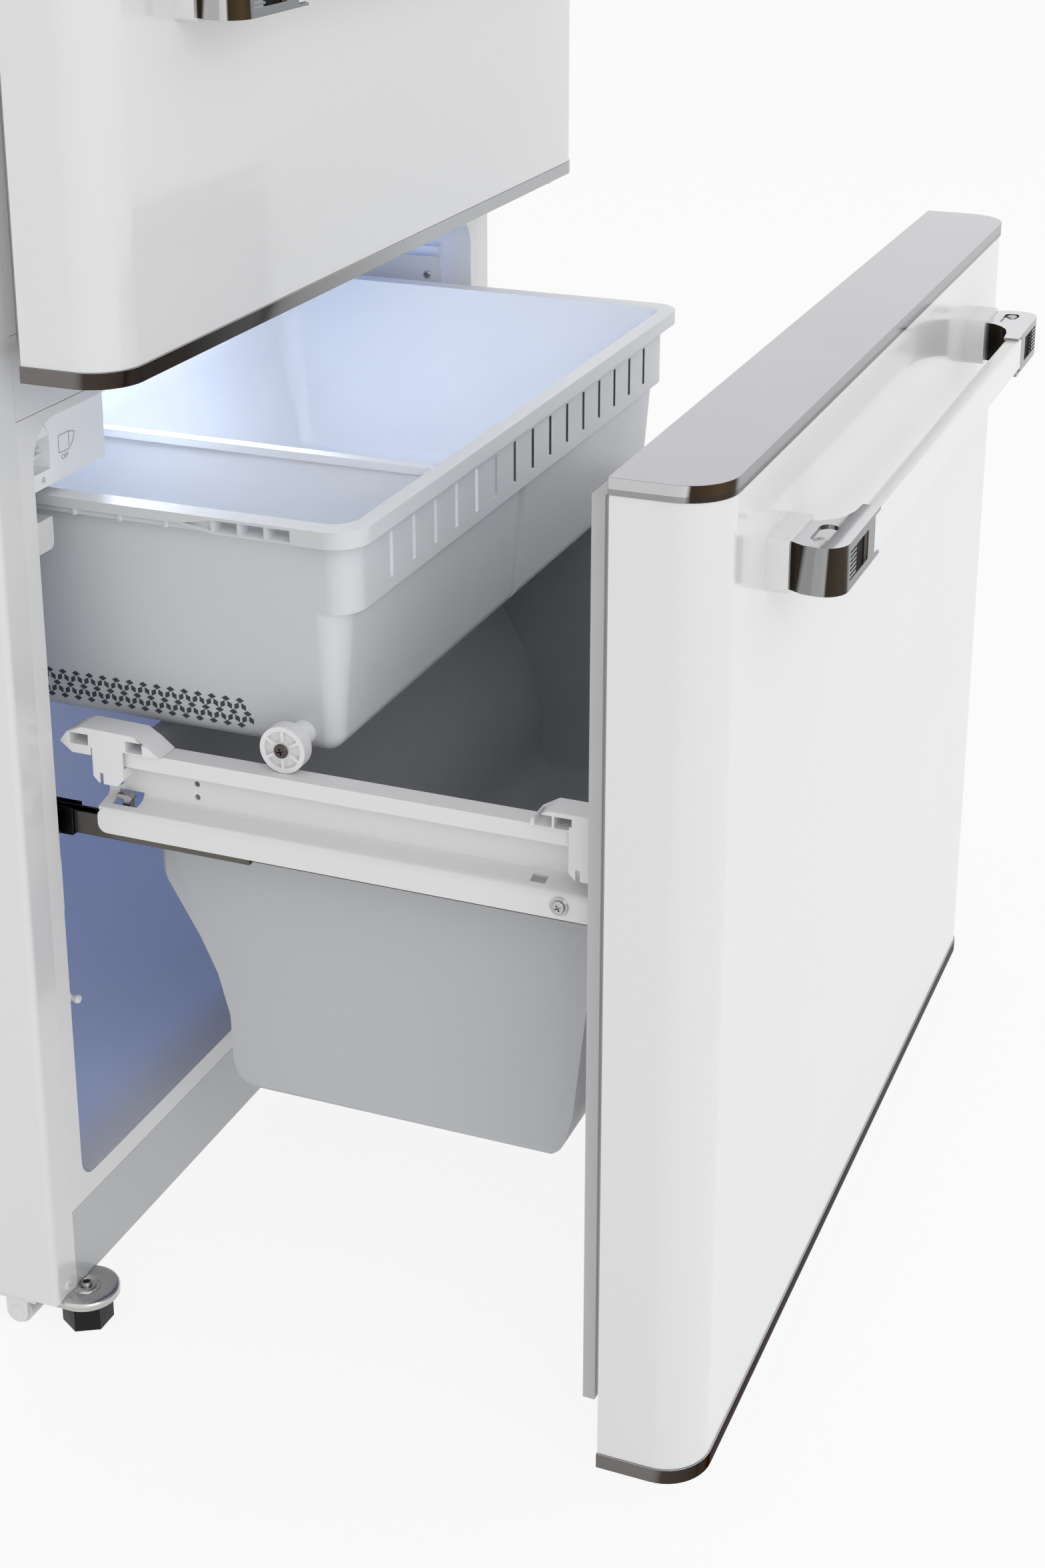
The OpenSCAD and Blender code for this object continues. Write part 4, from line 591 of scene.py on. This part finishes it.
# The basket's perforated band: a kagome lattice of small dark lozenges of painted shade on its
# drafted side walls, where the holes show

def lozenge(x, y, length, width, turn):
    points = [(length / 2, 0), (0, width / 2), (-length / 2, 0), (0, -width / 2)]
    return [(x + a * cos(turn) - b * sin(turn), y + a * sin(turn) + b * cos(turn)) for a, b in points]


def lattice(columns, pitch, length, width):
    """Three rows of flat lozenges, with slanted ones between them."""
    row = pitch * sqrt(3) / 2
    shapes = []
    for band in range(3):
        shift = pitch / 2 * (band % 2)
        for i in range(columns):
            x = i * pitch + shift
            y = -band * row
            shapes.append(lozenge(x, y, length, width, 0))
            if band < 2:
                shapes.append(lozenge(x - pitch / 4, y - row / 2, length, width, radians(60)))
                shapes.append(lozenge(x + pitch / 4, y - row / 2, length, width, -radians(60)))
    return shapes


def perforate(side):
    """Dark lozenges of painted shade on one side wall, where the holes show. The drafted wall stands
    at x 322 at z 480 and at x 328 at z 573; all is in millimetres but the lattice."""
    pitch = 11
    columns = 17
    draft = (328 - 322) / (573 - 480)
    first_row = 497.5
    clear_of_wall = 0.12
    x = side * (322 + (first_row - 480) * draft + clear_of_wall)
    front = -121
    start = front + (columns - 1) * pitch if side < 0 else front
    bm = prism(lattice(columns, pitch / 1000, 0.0066, 0.0042), 0.00012)
    add_piece("BasketPerforationShade" + side_name(side), bm, SHADOW_GREY, "basket",
              facing(at(x, start, first_row), (side, 0, -draft)))


for side in (-1, 1):
    perforate(side)


# Screws, hooks and plates that show

for side in (-1, 1):
    out = (side, 0, 0)
    label = side_name(side)
    screw("RollerScrew" + label, at(side * 357, -170, 481.3), out, 0.0052, 0.0018,
          "basket", DARK_SCREW, 0.3)
    washer = lathe([(0.0066, 0), (0.0066, 0.0006), (0.0062, 0.0009), (0.001, 0.0009)])
    add_piece("FrameWasher" + label, washer, SCREW_STEEL, "freezer_drawer",
              facing(at(side * 366, -376, 408.5), out))
    screw("FrameScrew" + label, at(side * 366.9, -376, 408.5), out, 0.0048, 0.0022,
          "freezer_drawer", SCREW_STEEL, 0.5)
    screw("FlangeScrew" + label, at(side * 403.5, 0, 37), (0, -1, 0), 0.0042, 0.0012, "cabinet",
          materials["white_enamel"], 0.2)

screw("RailScrewRight", at(371.9, 44, 636), (-1, 0, 0), 0.0038, 0.0012, "cabinet")


def latch_hook(side):
    """The slide's steel hook that reaches up through the slot at the frame's rear end."""
    outline = [(-0.005, 0), (0.004, 0), (0.004, 0.007), (0.006, 0.010), (0.003, 0.0125),
               (-0.006, 0.0125), (-0.006, 0.0095), (-0.001, 0.0088), (-0.002, 0.004)]
    width = 7
    x = 349.5 if side < 0 else 349.5 + width
    outline = outline if side < 0 else [(-a, b) for a, b in outline]
    add_piece("LatchHook" + side_name(side), prism([outline], -side * width / 1000), DARK_STEEL,
              "freezer_drawer", facing(at(side * x, -44, 413.8), (side, 0, 0)), 0.0004)


def foot_dome(side):
    """The pressed dome of a foot's plate, cut off at the cabinet's front face."""
    profile = [(0.0252, -0.0014), (0.0252, -0.0005), (0.0247, 0.0004), (0.0238, 0.0009),
               (0.0220, 0.0014), (0.0190, 0.0017), (0.0130, 0.0015), (0.0112, 0.0008),
               (0.0102, 0.0002), (0.0094, 0.0009), (0.0086, 0.0009), (0.0078, 0.0002),
               (0.0068, 0.0008), (0.0046, 0.0008), (0.0046, -0.0014)]
    bm = bmesh.new()
    rings = [ring_of(bm, r, z, 56) for r, z in profile]
    for low, high in zip(rings, rings[1:] + rings[:1]):
        bridge(bm, low, high)
    cut = bmesh.ops.bisect_plane(bm, geom=bm.verts[:] + bm.edges[:] + bm.faces[:],
                                 plane_co=(0, 0.0054, 0), plane_no=(0, 1, 0), clear_outer=True)
    rim = [part for part in cut["geom_cut"] if isinstance(part, bmesh.types.BMEdge)]
    bmesh.ops.edgeloop_fill(bm, edges=rim)
    add_piece("FootDome" + side_name(side), bm, DOME_STEEL, "cabinet",
              Matrix.Translation(at(side * 389, -6, 28.05)))


def stud_cap(side):
    """The bright riveted end of the foot's stud."""
    bm = lathe([(0.00405, 0), (0.00405, 0.0032), (0.0037, 0.0037), (0.0030, 0.0039),
                (0.0026, 0.0034), (0.0014, 0.0034)])
    add_piece("StudCap" + side_name(side), bm, SCREW_STEEL,
              "foot_left" if side < 0 else "foot_right", Matrix.Translation(at(side * 389, -6, 28.5)))


def liner_pin(side):
    """The small pin that stands forward from the peg at the liner's edge."""
    bm = lathe([(0.0026, 0), (0.0026, 0.0070), (0.0033, 0.0078), (0.0033, 0.0096), (0.0026, 0.0106),
                (0.0012, 0.0110)], 24)
    add_piece("LinerPin" + side_name(side), bm, materials["white_plastic"], "cabinet",
              facing(at(side * 365.4, 9, 258.5), (0, -1, 0)))


def roller_boss(side):
    """The round boss on the outside of the front roller's bracket."""
    bm = lathe([(0.0052, 0), (0.0052, 0.0005), (0.0046, 0.0009), (0.001, 0.0009)])
    add_piece("RollerBoss" + side_name(side), bm, materials["white_plastic"],
              "cabinet", facing(at(side * 417, 38, 12), (side, 0, 0)))


for side in (-1, 1):
    latch_hook(side)
    foot_dome(side)
    stud_cap(side)
    roller_boss(side)
    liner_pin(side)

# The lamp strip under the freezer's ceiling
led = prism([rectangle(0.20, 0.009)], 0.003)
add_piece("FreezerLed", led, COLD_LED, "cabinet",
          facing(at(-30, 36, 692), (0, -0.6, -0.8), (0, 0.8, -0.6)))


# The drawer and door handles: the dark window with its edge, and the screw of each bracket

def handle_details(prefix, node_name, body):
    window_half = (0.0147, 0.0098)
    edge_half = (0.0018, window_half[1])
    window_inset = 0.048
    screw_inset = 0.018
    low, high = (Vector(corner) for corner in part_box(node_name))
    middle_z = (low.z + high.z) / 2
    for side in (-1, 1):
        label = prefix + side_name(side)
        x = side * (abs(low.x) - window_inset)
        add_piece(label + "Window", prism([rectangle(*window_half)], 0.0006), WINDOW_BLACK,
                  body, facing(Vector((x, low.y + 0.0029, middle_z)), (0, -1, 0)))
        edge_x = x - side * (window_half[0] - edge_half[0])
        add_piece(label + "WindowEdge", prism([rectangle(*edge_half)], 0.0010), BRONZE,
                  body, facing(Vector((edge_x, low.y + 0.0026, middle_z)), (0, -1, 0)))
        place = Vector((side * (abs(low.x) - screw_inset), low.y + 0.020, high.z - 0.0015))
        screw(label + "Screw", place, (0, 0, 1), 0.0042, 0.0014, body)


handle_details("DrawerHandle", "drawer_handle_brackets", "freezer_drawer")
handle_details("UpperHandle", "upper_handle_brackets", "upper_door")


# Print on the ice maker: the outlines of a jug and a cube, and the word OFF

def line_drawing(name, strokes, width, matrix):
    """Thin flat strokes between points in local X and Y."""
    shapes = []
    for start, end in strokes:
        a = Vector(start)
        b = Vector(end)
        along = (b - a).normalized() * width / 2
        across = Vector((-along.y, along.x))
        shapes.append([tuple(p) for p in (a - along - across, b + along - across,
                                          b + along + across, a - along + across)])
    add_piece(name, prism(shapes, 0.0001), PRINT_GREY, "cabinet", matrix)


def path_strokes(points):
    return list(zip(points, points[1:]))


def ice_maker_print():
    matrix = facing(at(-315.2, 13.95, 667.6), (0, -1, 0))
    # Half width and half height of the jug
    w = 0.0066
    h = 0.0063
    jug = [(-w, h * 0.85), (-w * 0.85, h), (w, h), (w, -h), (-w * 0.85, -h), (-w, -h * 0.85),
           (-w, h * 0.85)]
    handle = [(w, h * 0.95), (w * 1.9, h * 0.8), (w * 2.15, h * 0.6), (w * 1.9, 0),
              (w * 1.45, -h * 0.7), (w * 1.3, -h * 0.8)]
    line_drawing("IceMakerJug", path_strokes(jug) + path_strokes(handle), 0.0005, matrix)
    low = Matrix.Translation((-0.0275, -0.0195, 0))
    cube = [(0.002 * cos(radians(a)), 0.002 * sin(radians(a))) for a in range(30, 391, 60)]
    spokes = [((0, 0), cube[i]) for i in (1, 3, 5)]
    line_drawing("IceMakerCube", path_strokes(cube) + spokes, 0.0003, matrix @ low)
    text = bpy.data.curves.new("OffText", "FONT")
    text.body = "OFF"
    text.size = 0.0052
    text.align_x = "CENTER"
    text.extrude = 0.00005
    piece = bpy.data.objects.new("IceMakerOff", text)
    bpy.context.collection.objects.link(piece)
    piece.matrix_world = matrix @ Matrix.Translation((0.0006, -0.0118, 0))
    text.materials.append(PRINT_GREY)
    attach(piece, "cabinet")


ice_maker_print()


# Camera, light and floor

LIT_POINT = Vector((0, 0, 0.75))
# The floor's own light, as a share of its look: for all rays, and added for rays that see it
FLOOR_GLOW = 0.40
FLOOR_SEEN = 0.47


def add_camera():
    yaw, pitch = CAMERA_YAW, CAMERA_PITCH
    ahead = Vector((sin(yaw) * cos(pitch), cos(yaw) * cos(pitch), sin(pitch)))
    right = Vector((cos(yaw), -sin(yaw), 0))
    up = right.cross(ahead)
    data = bpy.data.cameras.new("Camera")
    data.sensor_width = 36
    data.lens = FOCAL_PIXELS / PHOTO_HEIGHT * data.sensor_width
    data.shift_y = (AXIS_ROW - PHOTO_HEIGHT / 2) / PHOTO_HEIGHT
    data.clip_end = 60
    camera = bpy.data.objects.new("Camera", data)
    bpy.context.collection.objects.link(camera)
    turn = Matrix((right, up, -ahead)).transposed().to_4x4()
    camera.matrix_world = Matrix.Translation(at(*CAMERA_PLACE)) @ turn
    bpy.context.scene.camera = camera


def add_lamp(name, place, size, power):
    """A soft square lamp, turned to the middle of the part."""
    data = bpy.data.lights.new(name, "AREA")
    data.shape = "SQUARE"
    data.size = size
    data.energy = power
    lamp = bpy.data.objects.new(name, data)
    bpy.context.collection.objects.link(lamp)
    lamp.location = place
    lamp.rotation_euler = (LIT_POINT - Vector(place)).to_track_quat("-Z", "Y").to_euler()


def seen_directly(tree):
    """One where a ray comes from the camera, a reflection or clear material, else zero."""
    rays = tree.nodes.new("ShaderNodeLightPath").outputs
    seen = math_node(tree, "MAXIMUM", rays["Is Camera Ray"], rays["Is Glossy Ray"])
    return math_node(tree, "MAXIMUM", seen, rays["Is Transmission Ray"])


def add_world(ambient):
    """White to look at, and softer as a light on the part."""
    world = bpy.data.worlds.new("Studio")
    bpy.context.scene.world = world
    world.use_nodes = True
    tree = world.node_tree
    background = tree.nodes["Background"]
    background.inputs["Color"].default_value = (1, 1, 1, 1)
    strength = tree.nodes.new("ShaderNodeMix")
    strength.data_type = "FLOAT"
    strength.inputs[2].default_value = ambient
    strength.inputs[3].default_value = 1.0
    tree.links.new(seen_directly(tree), strength.inputs[0])
    tree.links.new(strength.outputs[0], background.inputs["Strength"])


def add_floor():
    """A pale floor that reads as white and keeps the object's shadow."""
    bm = bmesh.new()
    bmesh.ops.create_grid(bm, x_segments=1, y_segments=1, size=14)
    mesh = bpy.data.meshes.new("Floor")
    bm.to_mesh(mesh)
    bm.free()
    floor = bpy.data.objects.new("Floor", mesh)
    bpy.context.collection.objects.link(floor)
    material, tree, shader, _ = new_material("FloorPale")
    shader.inputs["Base Color"].default_value = (0.88, 0.88, 0.88, 1)
    shader.inputs["Roughness"].default_value = 0.9
    glow = tree.nodes.new("ShaderNodeEmission")
    blend = tree.nodes.new("ShaderNodeMixShader")
    part = math_node(tree, "MULTIPLY_ADD", seen_directly(tree), FLOOR_SEEN, FLOOR_GLOW)
    tree.links.new(part, blend.inputs[0])
    tree.links.new(shader.outputs[0], blend.inputs[1])
    tree.links.new(glow.outputs[0], blend.inputs[2])
    tree.links.new(blend.outputs[0], tree.nodes["Material Output"].inputs["Surface"])
    mesh.materials.append(material)


add_camera()
add_world(0.7)
add_lamp("KeyLamp", (-3.2, -3.6, 2.5), 3.0, 52)
add_lamp("FillLamp", (3.4, -3.4, 2.3), 3.5, 24)
add_lamp("BackLamp", (0.5, 3.8, 3.2), 3.0, 22)
add_floor()
bpy.context.scene.view_settings.view_transform = "Standard"
